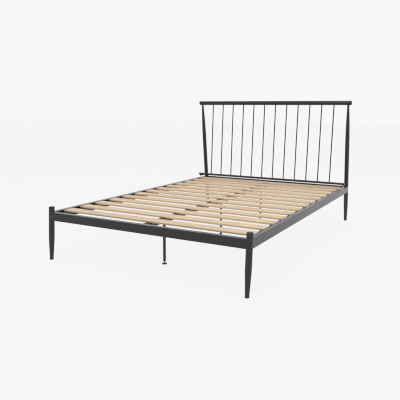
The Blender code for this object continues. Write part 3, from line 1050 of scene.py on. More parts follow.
@dataclass
class FootPost:
    """A foot post with its cap and its glide."""

    side: Side
    shape: PostShape = field(default_factory=lambda: PostShape(0.020))
    cap_height: float = 0.003
    cap_dome: float = 0.0007
    cap_edge: float = 0.0010
    cap_gap: float = 0.0003
    glide: Glide = field(default_factory=Glide)
    lean: Lean = field(init=False)

    def __post_init__(self) -> None:
        """Read the post's axis from the frame."""
        cap_low, cap_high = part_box(f"foot_post_cap_{self.side.word}")
        glide_low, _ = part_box(f"foot_glide_{self.side.word}")
        middle = (cap_low + cap_high) / 2
        self.lean = Lean(middle.x, glide_low.y + self.glide.radius, middle.y, cap_high.z)

    def build(self, finishes: Finishes) -> None:
        """Build and dress the post, the cap and the glide.

        Args:
            finishes: The materials.
        """
        place = self.lean.place()
        seat = self.lean.height - self.cap_height
        full = self.shape.radius
        stations = [(self.shape.bottom, 0)] + self.shape.lower_stations()
        rim = seat - self.cap_gap
        stations += [(height, full) for height in (0.22, 0.29, 0.34, seat - 0.0009)]
        stations += [(rim, full - self.shape.lip), (rim, full * 0.8), (rim, 0)]
        tube = new_piece(f"foot_post_tube_{self.side.word}",
                         turned("foot_post_tube", stations, place))
        place_piece(finishes.dress(tube, POWDER_COAT), MAIN_BODY, f"foot_post_{self.side.word}")
        self._build_cap(finishes, seat)
        foot = new_piece(f"foot_glide_disc_{self.side.word}",
                         self.glide.mesh("foot_glide", self.lean))
        place_piece(finishes.dress(foot, GLIDE_PLASTIC), MAIN_BODY, f"foot_glide_{self.side.word}")

    def _build_cap(self, finishes: Finishes, seat: float) -> None:
        """Build the cap: a disc with a rounded rim and a faintly crowned top.

        Args:
            finishes: The materials.
            seat: Height of the cap's underside.
        """
        full = self.shape.radius
        top = self.lean.height
        plug, plug_bottom = full * 0.7, seat - 0.002
        stations = [(plug_bottom, 0), (plug_bottom, plug), (seat, plug), (seat, full),
                    (top - self.cap_dome, full)]
        stations = rounded(stations, 0.0003, 2)
        rim = full - self.cap_edge
        steps = 5
        for step in range(1, steps + 1):
            turn = math.radians(90 * step / steps)
            stations.append((top - self.cap_dome - self.cap_edge + self.cap_edge * math.sin(turn),
                             rim + self.cap_edge * math.cos(turn)))
        stations += [(top - self.cap_dome * share ** 2, rim * share)
                     for share in (0.75, 0.5, 0.25, 0.0)]
        cap = new_piece(f"foot_post_top_cap_{self.side.word}",
                        turned("foot_post_top_cap", stations, self.lean.place()))
        place_piece(finishes.dress(cap, CAP_PLASTIC), MAIN_BODY, f"foot_post_cap_{self.side.word}")


@dataclass
class HeadPost:
    """A head post, narrow at both ends and welded under the top rail, with its glide.

    weld_rings gives how far up the weld each of its rings is and how far it flares out, both
    as shares of the weld's size.
    """

    side: Side
    shape: PostShape = field(default_factory=lambda: PostShape(0.019))
    neck_radius: float = 0.0085
    upper_taper: float = 0.680
    taper_power: float = 2.27
    taper_rings: int = 40
    weld: float = 0.0032
    weld_rings: tuple[tuple[float, float], ...] = ((0.5, 0.18), (1.0, 0.62))
    glide: Glide = field(default_factory=Glide)
    lean: Lean = field(init=False)

    def __post_init__(self) -> None:
        """Read the post's axis from the frame."""
        rail = middle_of("headboard_top_rail")
        _, glide_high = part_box(f"head_glide_{self.side.word}")
        x = middle_of(f"head_glide_{self.side.word}").x
        self.lean = Lean(x, glide_high.y - self.glide.radius, rail.y, rail.z)

    def build(self, finishes: Finishes) -> None:
        """Build and dress the post and the glide.

        Args:
            finishes: The materials.
        """
        rail = RoundRail.read("headboard_top_rail")
        top = rail.middle.z - rail.radius
        stations = [(self.shape.bottom, 0)] + self.shape.lower_stations()
        stations += [(0.3, self.shape.radius)] + self._upper_stations(top)
        place = self.lean.place()
        rings = [ring(place, height, radius) for height, radius in stations]
        for share, flare in self.weld_rings:
            lowered = self.weld * (1 - share)
            circle = ring(place, top - lowered, self.neck_radius + self.weld * flare)
            rings.append([(x, y, rail.under(y) - lowered) for x, y, _ in circle])
        rings.append([(self.lean.x, self.lean.y(top), top + SINK)])
        tube = new_piece(f"head_post_tube_{self.side.word}", skinned("head_post_tube", rings))
        place_piece(finishes.dress(tube, POWDER_COAT), MAIN_BODY,
                    f"headboard_post_{self.side.word}")
        foot = new_piece(f"head_glide_disc_{self.side.word}",
                         self.glide.mesh("head_glide", self.lean))
        place_piece(finishes.dress(foot, GLIDE_PLASTIC), MAIN_BODY,
                    f"head_glide_{self.side.word}")

    def _upper_stations(self, top: float) -> list[tuple[float, float]]:
        """Rings of the upper taper, which widens again into the weld under the top rail.

        Args:
            top: Height of the top rail's underside.

        Returns:
            Height and radius of each ring.
        """
        stations = []
        for step in range(self.taper_rings + 1):
            height = self.upper_taper + (top - self.upper_taper) * step / self.taper_rings
            run = (height - self.upper_taper) / (top - self.upper_taper)
            lost = (self.shape.radius - self.neck_radius) * run ** self.taper_power
            depth = max(0.0, 1 - (top - height) / self.weld)
            stations.append((height, self.shape.radius - lost + self.weld * 0.5 * depth ** 2))
        return stations


# Headboard

@dataclass
class TopRail:
    """The round top rail and its end caps."""

    wall: float = 0.0015
    lip: float = 0.0004
    cap_length: float = 0.003
    cap_edge: float = 0.0012
    cap_dish: float = 0.0006

    def build(self, finishes: Finishes) -> None:
        """Build and dress the rail and both caps.

        Args:
            finishes: The materials.
        """
        rail = RoundRail.read("headboard_top_rail")
        half, radius = rail.end_x, rail.radius
        inner = radius - self.wall
        stations = [(-half, inner), (-half, radius - self.lip), (self.lip - half, radius)]
        stations += [(half * step / 8, radius) for step in range(-7, 8)]
        stations += [(half - self.lip, radius), (half, radius - self.lip), (half, inner)]
        place = sideways(rail.middle.y, rail.middle.z)
        tube = new_piece("top_rail_tube", turned("top_rail_tube", stations, place, looped=True))
        place_piece(finishes.dress(tube, POWDER_COAT), MAIN_BODY, "headboard_top_rail")
        for side in Side:
            self._build_cap(finishes, side, rail)

    def _build_cap(self, finishes: Finishes, side: Side, rail: RoundRail) -> None:
        """Build one cap: a disc with a rounded rim and a faintly sunk face.

        Args:
            finishes: The materials.
            side: The cap's side.
            rail: The top rail.
        """
        low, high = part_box(f"top_rail_cap_{side.word}")
        face = max(abs(low.x), abs(high.x))
        seat, radius = face - self.cap_length, rail.radius
        plug, plug_end = radius - 0.002, seat - 0.006
        stations = [(plug_end, 0), (plug_end, plug), (seat, plug),
                    (seat, radius), (face, radius), (face, radius * 0.80),
                    (face - self.cap_dish, radius * 0.74), (face - self.cap_dish, 0)]
        mesh = turned("top_rail_end_cap", rounded(stations, self.cap_edge),
                      sideways(rail.middle.y, rail.middle.z, side.value))
        cap = new_piece(f"top_rail_end_cap_{side.word}", mesh)
        place_piece(finishes.dress(cap, CAP_PLASTIC), MAIN_BODY, f"top_rail_cap_{side.word}")


@dataclass
class SpindleRow:
    """The straight rods between the lower rail and the top rail, welded at both ends."""

    count: int = 12
    weld: float = 0.0028
    weld_flare: float = 0.55
    weld_steps: int = 4
    rod_steps: int = 10
    sides: int = 32
    radius: float = field(init=False)
    top: RoundRail = field(init=False)
    bottom: RoundRail = field(init=False)

    def __post_init__(self) -> None:
        """Read the rods' radius and both rails from the frame."""
        low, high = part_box("headboard_spindle_01")
        self.radius = (high.x - low.x) / 2
        self.top = RoundRail.read("headboard_top_rail")
        self.bottom = RoundRail.read("headboard_lower_rail")

    def build(self, finishes: Finishes) -> None:
        """Build and dress every spindle; they share one mesh.

        Args:
            finishes: The materials.
        """
        start, finish = self.bottom.over(self.bottom.middle.y), self.top.under(self.top.middle.y)
        shares = [step / self.weld_steps for step in range(self.weld_steps + 1)]
        most = self.weld * self.weld_flare
        flares = [(share, self.radius + most * (1 - share) ** 2) for share in shares]
        rings = [[(0, self.bottom.middle.y, start)]]
        for share, radius in flares:
            circle = self._ring(radius, self._axis_y(start))
            rings.append([(x, y, self.bottom.over(y) + share * self.weld) for x, y in circle])
        for step in range(1, self.rod_steps):
            height = start + (finish - start) * step / self.rod_steps
            circle = self._ring(self.radius, self._axis_y(height))
            rings.append([(x, y, height) for x, y in circle])
        for share, radius in flares[::-1]:
            circle = self._ring(radius, self._axis_y(finish))
            rings.append([(x, y, self.top.under(y) - share * self.weld) for x, y in circle])
        rings.append([(0, self.top.middle.y, finish)])
        mesh = skinned("spindle_rod", rings)
        for number in range(1, self.count + 1):
            node = f"headboard_spindle_{number:02d}"
            rod = new_piece(f"spindle_rod_{number:02d}", mesh, (middle_of(node).x, 0, 0))
            place_piece(finishes.dress(rod, ROD_COAT), MAIN_BODY, node)

    def _axis_y(self, z: float) -> float:
        """Y of the spindles' axes at a height."""
        top, bottom = self.top.middle, self.bottom.middle
        return bottom.y + (top.y - bottom.y) * (z - bottom.z) / (top.z - bottom.z)

    def _ring(self, radius: float, y: float) -> list[tuple[float, float]]:
        """X and Y of a level circle round the spindle's axis."""
        turns = [2 * math.pi * step / self.sides for step in range(self.sides)]
        return [(radius * math.cos(turn), y + radius * math.sin(turn)) for turn in turns]


@dataclass
class LowerRail:
    """The round rail under the spindles, with its two brackets and their welds."""

    head_posts: dict[Side, HeadPost]
    vent_radius: float = 0.002
    vent_depth: float = 0.002
    edge: float = 0.0015
    bracket_half: float = 0.0025
    bracket_edge: float = 0.0006
    bracket_steps: int = 20
    weld: float = 0.0020
    saddle_weld: float = 0.0016
    weld_steps: int = 12

    def build(self, finishes: Finishes) -> None:
        """Build and dress the rail and both brackets.

        Args:
            finishes: The materials.
        """
        rail = RoundRail.read("headboard_lower_rail")
        half, radius = rail.end_x, rail.radius
        floor = half - self.vent_depth
        end = [(floor, 0), (floor, self.vent_radius), (half, self.vent_radius), (half, radius),
               (half - 0.01, radius)]
        end = rounded(end, self.edge)
        stations = [(-along, size) for along, size in end]
        stations += [(half * step / 6, radius) for step in range(-5, 6)]
        stations += end[::-1]
        place = sideways(rail.middle.y, rail.middle.z)
        tube = new_piece("lower_rail_tube", turned("lower_rail_tube", stations, place, sides=48))
        place_piece(finishes.dress(tube, POWDER_COAT), MAIN_BODY, "headboard_lower_rail")
        for side in Side:
            self._build_bracket(finishes, side, rail)

    def _build_bracket(self, finishes: Finishes, side: Side, rail: RoundRail) -> None:
        """Build one bracket: a plate on edge, cut to the rail's round, with its welds.

        Args:
            finishes: The materials.
            side: The bracket's side.
            rail: The lower rail.
        """
        node = f"headboard_bracket_{side.word}"
        low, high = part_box(node)
        x = (low.x + high.x) / 2
        post = self.head_posts[side]
        rear = [post.lean.y(z) - post.shape.radius + SINK for z in (low.z, high.z)]
        reach = rail.radius - SINK
        sunk = math.asin((high.z - rail.middle.z) / reach)
        outline = [(low.y, low.z), (rear[0], low.z), (rear[1], high.z)]
        outline += self._saddle(rail, reach, sunk, self.bracket_steps)
        outline.append((low.y, high.z))
        mesh = extruded("bracket_plate", outline, lambda along, a, b: (along, a, b),
                        (x - self.bracket_half, x + self.bracket_half), self.bracket_edge)
        plate = new_piece(f"bracket_plate_{side.word}", mesh)
        place_piece(finishes.dress(plate, POWDER_COAT), MAIN_BODY, node)
        path = [Vector((x + sign * self.bracket_half, post.lean.y(z) - post.shape.radius, z))
                for sign, z in ((-1, low.z), (-1, high.z), (1, high.z), (1, low.z))]
        roll = new_piece(f"bracket_post_weld_{side.word}",
                         bead("bracket_post_weld", path, self.weld))
        place_piece(finishes.dress(roll, POWDER_COAT), MAIN_BODY)
        for number, sign in enumerate((-1, 1), start=1):
            face_x = x + sign * self.bracket_half
            arc = [Vector((face_x, y, z))
                   for y, z in self._saddle(rail, rail.radius, sunk, self.weld_steps)]
            roll = new_piece(f"bracket_rail_weld_{side.word}_{number}",
                             bead("bracket_rail_weld", arc, self.saddle_weld, closed=False))
            place_piece(finishes.dress(roll, POWDER_COAT), MAIN_BODY)

    @staticmethod
    def _saddle(rail: RoundRail, reach: float, sunk: float,
                steps: int) -> list[tuple[float, float]]:
        """The arc of a bracket's cut round the rail.

        Args:
            rail: The rail.
            reach: The arc's radius.
            sunk: Turn above the rail's middle where the arc starts and ends, in radians.
            steps: Steps along the arc.

        Returns:
            Y and Z of the arc's points, from the post's side to the front.
        """
        turns = [sunk - (math.pi + 2 * sunk) * step / steps for step in range(steps + 1)]
        return [(rail.middle.y + reach * math.cos(turn), rail.middle.z + reach * math.sin(turn))
                for turn in turns]


# Rails

@dataclass
class RailSection:
    """A rectangular tube's outline with round corners."""

    width: float
    height: float
    corner: float = 0.003
    corner_steps: int = 8
    flat_steps: int = 14

    def outline(self, inset: float = 0.0) -> list[tuple[float, float]]:
        """The outline, moved in by an inset.

        Args:
            inset: Distance from the tube's outer surface.

        Returns:
            Points in order round the section.
        """
        half_width, half_height = self.width / 2 - inset, self.height / 2 - inset
        corner = max(self.corner - inset, 0.0004)
        points = []
        for number, (across, up) in enumerate(((1, 1), (-1, 1), (-1, -1), (1, -1))):
            centre = (across * (half_width - corner), up * (half_height - corner))
            for step in range(self.corner_steps + 1):
                turn = math.radians(90 * (number + step / self.corner_steps))
                points.append((centre[0] + corner * math.cos(turn),
                               centre[1] + corner * math.sin(turn)))
            a, b = points[-1]
            for step in range(1, self.flat_steps):
                share = 1 - 2 * step / self.flat_steps
                points.append((a * share, b) if across == up else (a, b * share))
        return points


@dataclass
class Rails:
    """Foot rail, head rail and side rails, cut to the posts they meet."""

    foot_posts: dict[Side, FootPost]
    head_posts: dict[Side, HeadPost]
    wall: float = 0.002
    weld: float = 0.00154
    weld_inset: float = 0.00055
    lip: float = 0.0005
    steps: int = 12
    weld_gap: float = 0.0001
    bolt_gap: float = 0.0003

    def build(self, finishes: Finishes) -> None:
        """Build and dress the four rails and the welds of the two cross rails.

        Args:
            finishes: The materials.
        """
        for end, posts in ((End.FOOT, self.foot_posts), (End.HEAD, self.head_posts)):
            self._build_cross_rail(finishes, end, posts)
        for side in Side:
            self._build_side_rail(finishes, side)

    @staticmethod
    def _stand_off(inward: float, radius: float) -> float:
        """How far from a post's axis a rail's end is, for a point inward to the bed's inside."""
        return max(math.sqrt(max(0.0, radius ** 2 - inward ** 2)), inward + SINK)

    def _tube(self, name: str, section: RailSection, place: Place,
              start: Callable[[float, float], float],
              finish: Callable[[float, float], float]) -> bpy.types.Mesh:
        """Skin a rail between two shaped ends, with a short inner wall in each end.

        Args:
            name: The mesh's name.
            section: The rail's section.
            place: Gives a point from its place along the rail and its two section coordinates.
            start: Place along the rail where it starts, for a point of the section.
            finish: Place along the rail where it ends, for a point of the section.

        Returns:
            The mesh.
        """
        insets = (self.wall, self.wall / 2, self.lip / 2, 0.0)
        rings = [[place(start(a, b), a, b) for a, b in section.outline(inset)]
                 for inset in insets]
        outer = section.outline()
        for step in range(1, self.steps):
            share = step / self.steps
            rings.append([place(start(a, b) * (1 - share) + finish(a, b) * share, a, b)
                          for a, b in outer])
        rings += [[place(finish(a, b), a, b) for a, b in section.outline(inset)]
                  for inset in insets[::-1]]
        return skinned(name, rings, looped=True)

    def _build_cross_rail(self, finishes: Finishes, end: End,
                          posts: dict[Side, FootPost] | dict[Side, HeadPost]) -> None:
        """Build one rail across the bed and the beads where it is welded to its posts.

        Args:
            finishes: The materials.
            end: The rail's end of the bed.
            posts: The posts it is welded to, by side.
        """
        node = f"{end.word}_rail"
        low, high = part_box(node)
        middle = (low + high) / 2
        section = RailSection(high.y - low.y, high.z - low.z)
        lean = posts[Side.RIGHT].lean
        radius = posts[Side.RIGHT].shape.radius + self.weld_gap

        def stop(a: float, b: float) -> float:
            """X of the right end, for a point of the section."""
            inward = end.value * (middle.y + a - lean.y(middle.z + b))
            return lean.x - self._stand_off(inward, radius)

        def place(along: float, a: float, b: float) -> tuple[float, float, float]:
            """A point of the rail."""
            return (along, middle.y + a, middle.z + b)

        mesh = self._tube(f"{node}_tube", section, place, lambda a, b: -stop(a, b), stop)
        tube = new_piece(f"{node}_tube", mesh)
        place_piece(finishes.dress(tube, POWDER_COAT), MAIN_BODY, node)
        rim = section.outline(self.weld_inset)
        for side in Side:
            path = [Vector(place(side.value * stop(a, b), a, b)) for a, b in rim]
            roll = new_piece(f"{node}_weld_{side.word}", bead(f"{node}_weld", path, self.weld))
            place_piece(finishes.dress(roll, POWDER_COAT), MAIN_BODY)

    def _build_side_rail(self, finishes: Finishes, side: Side) -> None:
        """Build one rail along the bed; its ends are bolted, so they have no bead.

        Args:
            finishes: The materials.
            side: The rail's side.
        """
        node = f"side_rail_{side.word}"
        low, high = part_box(node)
        middle = (low + high) / 2
        foot, head = self.foot_posts[side], self.head_posts[side]
        section = RailSection(high.x - low.x, high.z - low.z)

        def start(a: float, b: float) -> float:
            """Y of the foot end, for a point of the section."""
            off = self._stand_off(-side.value * a, foot.shape.radius + self.bolt_gap)
            return foot.lean.y(middle.z + b) + off

        def finish(a: float, b: float) -> float:
            """Y of the head end, for a point of the section."""
            off = self._stand_off(-side.value * a, head.shape.radius + self.bolt_gap)
            return head.lean.y(middle.z + b) - off

        def place(along: float, a: float, b: float) -> tuple[float, float, float]:
            """A point of the rail."""
            return (foot.lean.x + a, along, middle.z + b)

        tube = new_piece(f"{node}_tube",
                         self._tube(f"{node}_tube", section, place, start, finish))
        place_piece(finishes.dress(tube, POWDER_COAT), MAIN_BODY, node)


@dataclass
class CornerBolts:
    """Button-head bolts on the side rails' inner faces, near each post."""

    screw: Screw = Screw(0.0070, 0.0040, Drive.HEXAGON, 0.0026, 0.0022, washer_radius=0.0085)
    from_end: tuple[float, ...] = (0.055, 0.105)
    height: float = 0.0105

    def build(self, finishes: Finishes) -> None:
        """Build and dress two bolts at each end of each side rail.

        Args:
            finishes: The materials.
        """
        mesh = self.screw.mesh("corner_bolt")
        for side in Side:
            low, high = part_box(f"side_rail_{side.word}")
            inner_x = low.x if side is Side.RIGHT else high.x
            turn = Matrix.Rotation(math.radians(-90 * side.value), 4, "Y")
            for end in End:
                edge = low.y if end is End.FOOT else high.y
                for number, inset in enumerate(self.from_end, start=1):
                    bolt = new_piece(f"corner_bolt_{end.word}_{side.word}_{number}", mesh)
                    spot = (inner_x, edge + end.value * inset, low.z + self.height)
                    bolt.matrix_world = Matrix.Translation(spot) @ turn
                    place_piece(finishes.dress(bolt, BOLT_BLACK), MAIN_BODY)


# Slatted base

@dataclass
class SlatBase:
    """Plywood slats, the ledges they lie on and their screws.

    edge rounds a slat's long edges and ease its ends. screw_spin is how far, in radians, the
    recesses turn from one slat to the next and from one screw to the next.
    """

    count: int = 13
    edge: float = 0.003
    edge_steps: int = 5
    lengthwise: int = 24
    ease: float = 0.0015
    screw: Screw = Screw(0.0042, 0.0009, Drive.CROSS, 0.0022, 0.0008)
    screw_inset: float = 0.015
    screw_pitch: float = 0.050
    screw_sunk: float = 0.0003
    screw_spin: tuple[float, float] = (0.7, 1.9)
    ledge_thickness: float = 0.003
    ledge_bend: float = 0.004
    ledge_edge: float = 0.0006

    def build(self, finishes: Finishes) -> None:
        """Build and dress the slats, their screws and the ledges.

        Args:
            finishes: The materials.
        """
        mesh = self._slat_mesh()
        screw = self.screw.mesh("slat_screw")
        for number in range(1, self.count + 1):
            node = f"slat_{number:02d}"
            board = new_piece(f"slat_board_{number:02d}", mesh, middle_of(node))
            place_piece(finishes.dress(board, PLYWOOD), MAIN_BODY, node)
            self._add_screws(finishes, number, node, screw)
        for side in Side:
            self._build_ledge(finishes, side)

    def _slat_mesh(self) -> bpy.types.Mesh:
        """One slat: a board with rounded long edges and eased ends.

        Returns:
            The mesh, with its origin in the board's middle.
        """
        low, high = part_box("slat_01")
        half = (high - low) / 2
        section = RailSection(half.y * 2, half.z * 2, self.edge, self.edge_steps, 4)
        ends = [(half.x, self.ease), (half.x - self.ease * 0.3, self.ease * 0.3),
                (half.x - self.ease, 0.0)]
        spans = [half.x * (2 * step / self.lengthwise - 1) for step in range(1, self.lengthwise)]
        stations = [(-along, inset) for along, inset in ends]
        stations += [(along, 0.0) for along in spans] + ends[::-1]
        rings = [[(along, a, b) for a, b in section.outline(inset)] for along, inset in stations]
        return skinned("slat_board", [[(-half.x, 0, 0)]] + rings + [[(half.x, 0, 0)]])

    def _add_screws(self, finishes: Finishes, number: int, node: str,
                    screw: bpy.types.Mesh) -> None:
        """Add two screws at each end of a slat, joined into one piece for each slat.

        Args:
            finishes: The materials.
            number: The slat's number, which turns the screws' recesses.
            node: The slat's node.
            screw: The screw's mesh.
        """
        low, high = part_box(node)
        middle = (low + high) / 2
        by_slat, by_screw = self.screw_spin
        moves = []
        for side in Side:
            for step in (-0.5, 0.5):
                x = side.value * (high.x - self.screw_inset)
                spin = Matrix.Rotation(by_slat * number + by_screw * step + side.value, 4, "Z")
                y = middle.y + step * self.screw_pitch
                moves.append(Matrix.Translation((x, y, high.z - self.screw_sunk)) @ spin)
        mesh = merged(f"slat_screws_{number:02d}", [screw] * len(moves), moves)
        heads = new_piece(f"slat_screws_{number:02d}", mesh)
        place_piece(finishes.dress(heads, ZINC), MAIN_BODY)

    def _build_ledge(self, finishes: Finishes, side: Side) -> None:
        """Build one ledge: a bent angle with a rounded heel.

        Args:
            finishes: The materials.
            side: The ledge's side.
        """
        node = f"slat_ledge_{side.word}"
        low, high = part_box(node)
        wall_x = high.x if side is Side.RIGHT else low.x
        edge_x = low.x if side is Side.RIGHT else high.x
        thick, bend, edge = self.ledge_thickness, self.ledge_bend, self.ledge_edge
        inner_bend = bend - thick * 0.6
        inner_x = wall_x - side.value * thick
        corners = [(wall_x, low.z), (wall_x, high.z), (edge_x, high.z), (edge_x, high.z - thick),
                   (inner_x, high.z - thick), (inner_x, low.z)]
        outline = bent(corners, {0: edge, 1: bend, 2: edge, 3: edge, 4: inner_bend, 5: edge})
        mesh = extruded("slat_ledge_angle", outline, along_bed, (low.y, high.y), edge)
        angle = new_piece(f"slat_ledge_angle_{side.word}", mesh)
        place_piece(finishes.dress(angle, POWDER_COAT), MAIN_BODY, node)


@dataclass
class CentreRail:
    """The rail under the slats' middles and the hangers that carry its ends."""

    corner: float = 0.002
    wall: float = 0.0015
    steps: int = 12
    hanger_thickness: float = 0.0025
    hanger_edge: float = 0.0006
    hanger_tip: float = 0.0005
    hanger_bend: float = 0.0035
    hanger_inner_bend: float = 0.0012
    bolt: Screw = Screw(0.0052, 0.0034, Drive.HEXAGON, 0.0020, 0.0018, washer_radius=0.0065)

    def build(self, finishes: Finishes) -> None:
        """Build and dress the rail, the hangers and their bolts.

        Args:
            finishes: The materials.
        """
        low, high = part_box("centre_rail")
        middle = (low + high) / 2
        section = RailSection(high.x - low.x, high.z - low.z, self.corner, 6, 4)
        rings = [[(a, low.y, middle.z + b) for a, b in section.outline(inset)]
                 for inset in (self.wall, 0.0)]
        for step in range(1, self.steps):
            along = low.y + (high.y - low.y) * step / self.steps
            rings.append([(a, along, middle.z + b) for a, b in section.outline()])
        rings += [[(a, high.y, middle.z + b) for a, b in section.outline(inset)]
                  for inset in (0.0, self.wall)]
        tube = new_piece("centre_rail_tube", skinned("centre_rail_tube", rings, looped=True))
        place_piece(finishes.dress(tube, POWDER_COAT), MAIN_BODY, "centre_rail")
        bolt = self.bolt.mesh("hanger_bolt")
        for end in End:
            self._build_hanger(finishes, end, bolt)

    def _build_hanger(self, finishes: Finishes, end: End, bolt: bpy.types.Mesh) -> None:
        """Build one hanger: a bent U-shaped seat with a bolt through each side.

        Args:
            finishes: The materials.
            end: The hanger's end of the bed.
            bolt: The bolt's mesh.
        """
        node = f"centre_hanger_{end.word}"
        low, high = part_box(node)
        thick = self.hanger_thickness
        corners = [(low.x, high.z), (low.x, low.z), (high.x, low.z), (high.x, high.z),
                   (high.x - thick, high.z), (high.x - thick, low.z + thick),
                   (low.x + thick, low.z + thick), (low.x + thick, high.z)]
        tip, bend, inner = self.hanger_tip, self.hanger_bend, self.hanger_inner_bend
        radii = dict(enumerate((tip, bend, bend, tip, tip, inner, inner, tip)))
        mesh = extruded("centre_hanger_seat", bent(corners, radii), along_bed, (low.y, high.y),
                        self.hanger_edge)
        seat = new_piece(f"centre_hanger_seat_{end.word}", mesh)
        place_piece(finishes.dress(seat, POWDER_COAT), MAIN_BODY, node)
        middle = (low + high) / 2
        for side in Side:
            x = high.x if side is Side.RIGHT else low.x
            turn = Matrix.Rotation(math.radians(90 * side.value), 4, "Y")
            head = new_piece(f"hanger_bolt_{end.word}_{side.word}", bolt)
            head.matrix_world = Matrix.Translation((x, middle.y, middle.z)) @ turn
            place_piece(finishes.dress(head, BOLT_BLACK), MAIN_BODY)


# Centre legs

@dataclass
class CentreLeg:
    """One centre leg with its threaded stud and its levelling pad.

    thread_rings is the number of the thread's rings in one turn, thread_ease the length over
    which its ends fade out, and pad_socket the height of the socket's floor in the pad.
    """

    number: int
    radius: float = 0.010
    flange_radius: float = 0.018
    flange_height: float = 0.003
    thread_radius: float = 0.004
    thread_pitch: float = 0.00125
    thread_depth: float = 0.00062
    thread_sides: int = 32
    thread_rings: int = 10
    thread_ease: float = 0.001
    clearance: float = 0.0003
    flange_screw: Screw = Screw(0.0028, 0.0014, Drive.CROSS, 0.0014, 0.0007)
    flange_screws: int = 3
    flange_screw_radius: float = 0.0143
    pad_socket: float = 0.004

    def build(self, finishes: Finishes) -> None:
        """Build and dress the leg, the stud and the pad.

        Args:
            finishes: The materials.
        """
        self._build_leg(finishes)
        self._build_stud(finishes)
        self._build_pad(finishes)

    def _build_leg(self, finishes: Finishes) -> None:
        """Build the tube, its flange and the flange's screws.

        Args:
            finishes: The materials.
        """
        node = f"centre_leg_{self.number}"
        low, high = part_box(node)
        middle = (low + high) / 2
        bore = self.thread_radius + self.clearance
        collar, seat = low.z + 0.0010, high.z - self.flange_height
        stations = [(low.z, bore), (low.z, self.radius - 0.0008), (collar, self.radius - 0.0001),
                    (collar, self.radius), (seat - 0.004, self.radius),
                    (seat, self.radius + 0.0020), (seat, self.flange_radius),
                    (high.z, self.flange_radius), (high.z, bore)]
        stations = rounded(stations, 0.0006, 3)
        mesh = turned("centre_leg_tube", stations, upright(middle.x, middle.y), looped=True)
        tube = new_piece(f"centre_leg_tube_{self.number}", mesh)
        place_piece(finishes.dress(tube, POWDER_COAT), MAIN_BODY, node)
        screw = self.flange_screw.mesh("flange_screw")
        moves = []
        for step in range(self.flange_screws):
            turn = math.radians(360 / self.flange_screws * step + 90)
            spot = (middle.x + self.flange_screw_radius * math.cos(turn),
                    middle.y + self.flange_screw_radius * math.sin(turn), seat)
            moves.append(Matrix.Translation(spot) @ Matrix.Rotation(math.pi, 4, "X"))
        heads = new_piece(f"flange_screws_{self.number}",
                          merged("flange_screws", [screw] * len(moves), moves))
        place_piece(finishes.dress(heads, BOLT_BLACK), MAIN_BODY)

    def _build_stud(self, finishes: Finishes) -> None:
        """Build the stud, with a real helical thread of the pitch that its joint has.

        Args:
            finishes: The materials.
        """
        node = f"levelling_stud_{self.number}"
        low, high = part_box(node)
        middle = (low + high) / 2
        place = upright(middle.x, middle.y, low.z)
        length = high.z - low.z
        count = int(length / self.thread_pitch * self.thread_rings)
        rings = [[place(0, 0, 0)]]
        for step in range(count + 1):
            along = length * step / count
            ease = min(1.0, along / self.thread_ease, (length - along) / self.thread_ease)
            circle = []
            for number in range(self.thread_sides):
                part = number / self.thread_sides
                size = self._thread_radius(along, part) - 0.0006 * (1 - ease)
                turn = 2 * math.pi * part
                circle.append(place(along, size * math.cos(turn), size * math.sin(turn)))
            rings.append(circle)
        rings.append([place(length, 0, 0)])
        mesh = skinned("levelling_stud_thread", rings)
        stud = new_piece(f"levelling_stud_thread_{self.number}", mesh)
        place_piece(finishes.dress(stud, ZINC), node, node)

    def _thread_radius(self, along: float, part: float) -> float:
        """Radius of the thread's surface.

        Args:
            along: Place along the stud from its lower end.
            part: Part of a turn round its axis.

        Returns:
            The radius.
        """
        phase = (along / self.thread_pitch - part) % 1.0
        crest = 1 - abs(2 * phase - 1)
        return self.thread_radius - self.thread_depth * max(0.0, 1 - crest * 1.25)

    def _build_pad(self, finishes: Finishes) -> None:
        """Build the pad: a rubber disc with a rounded rim, a ring groove and a raised collar.

        Args:
            finishes: The materials.
        """
        node = f"levelling_pad_{self.number}"
        low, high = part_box(node)
        middle = (low + high) / 2
        full, top = (high.x - low.x) / 2, high.z - low.z
        socket = self.thread_radius + self.clearance
        rim, groove = 0.0012, 0.0006
        stations = [(0, 0), (0, full * 0.45), (groove, full * 0.48), (groove, full * 0.58),
                    (0, full * 0.61), (0, full - rim), (rim, full), (top * 0.62, full),
                    (top * 0.80, full * 0.93), (top * 0.84, full * 0.56), (top, full * 0.48),
                    (top, socket), (self.pad_socket, socket), (self.pad_socket, 0)]
        mesh = turned("levelling_pad_disc", rounded(stations, 0.0010, 4),
                      upright(middle.x, middle.y, low.z))
        disc = new_piece(f"levelling_pad_disc_{self.number}", mesh)
        place_piece(finishes.dress(disc, PAD_RUBBER), node, node)


# Stage

@dataclass(frozen=True)
class Viewpoint:
    """The camera: its place in metres, its turns in degrees, its lens and sensor in mm."""

    location: tuple[float, float, float] = (1.8312, -3.6990, 1.0490)
    turn_left: float = 28.837
    look_down: float = 10.142
    roll: float = 0.298
    lens: float = 45.66
    sensor: float = 36.0
    nearest: float = 0.05
    farthest: float = 200.0

    def build(self) -> None:
        """Make the camera the scene's camera."""
        data = bpy.data.cameras.new("camera")
        data.lens, data.sensor_width, data.sensor_fit = self.lens, self.sensor, "HORIZONTAL"
        data.clip_start, data.clip_end = self.nearest, self.farthest
        camera = bpy.data.objects.new("camera", data)
        turn = Matrix.Rotation(math.radians(self.turn_left), 4, "Z")
        tilt = Matrix.Rotation(math.radians(90 - self.look_down), 4, "X")
        roll = Matrix.Rotation(math.radians(self.roll), 4, "Z")
        camera.matrix_world = Matrix.Translation(self.location) @ turn @ tilt @ roll
        bpy.context.scene.collection.objects.link(camera)
        bpy.context.scene.camera = camera


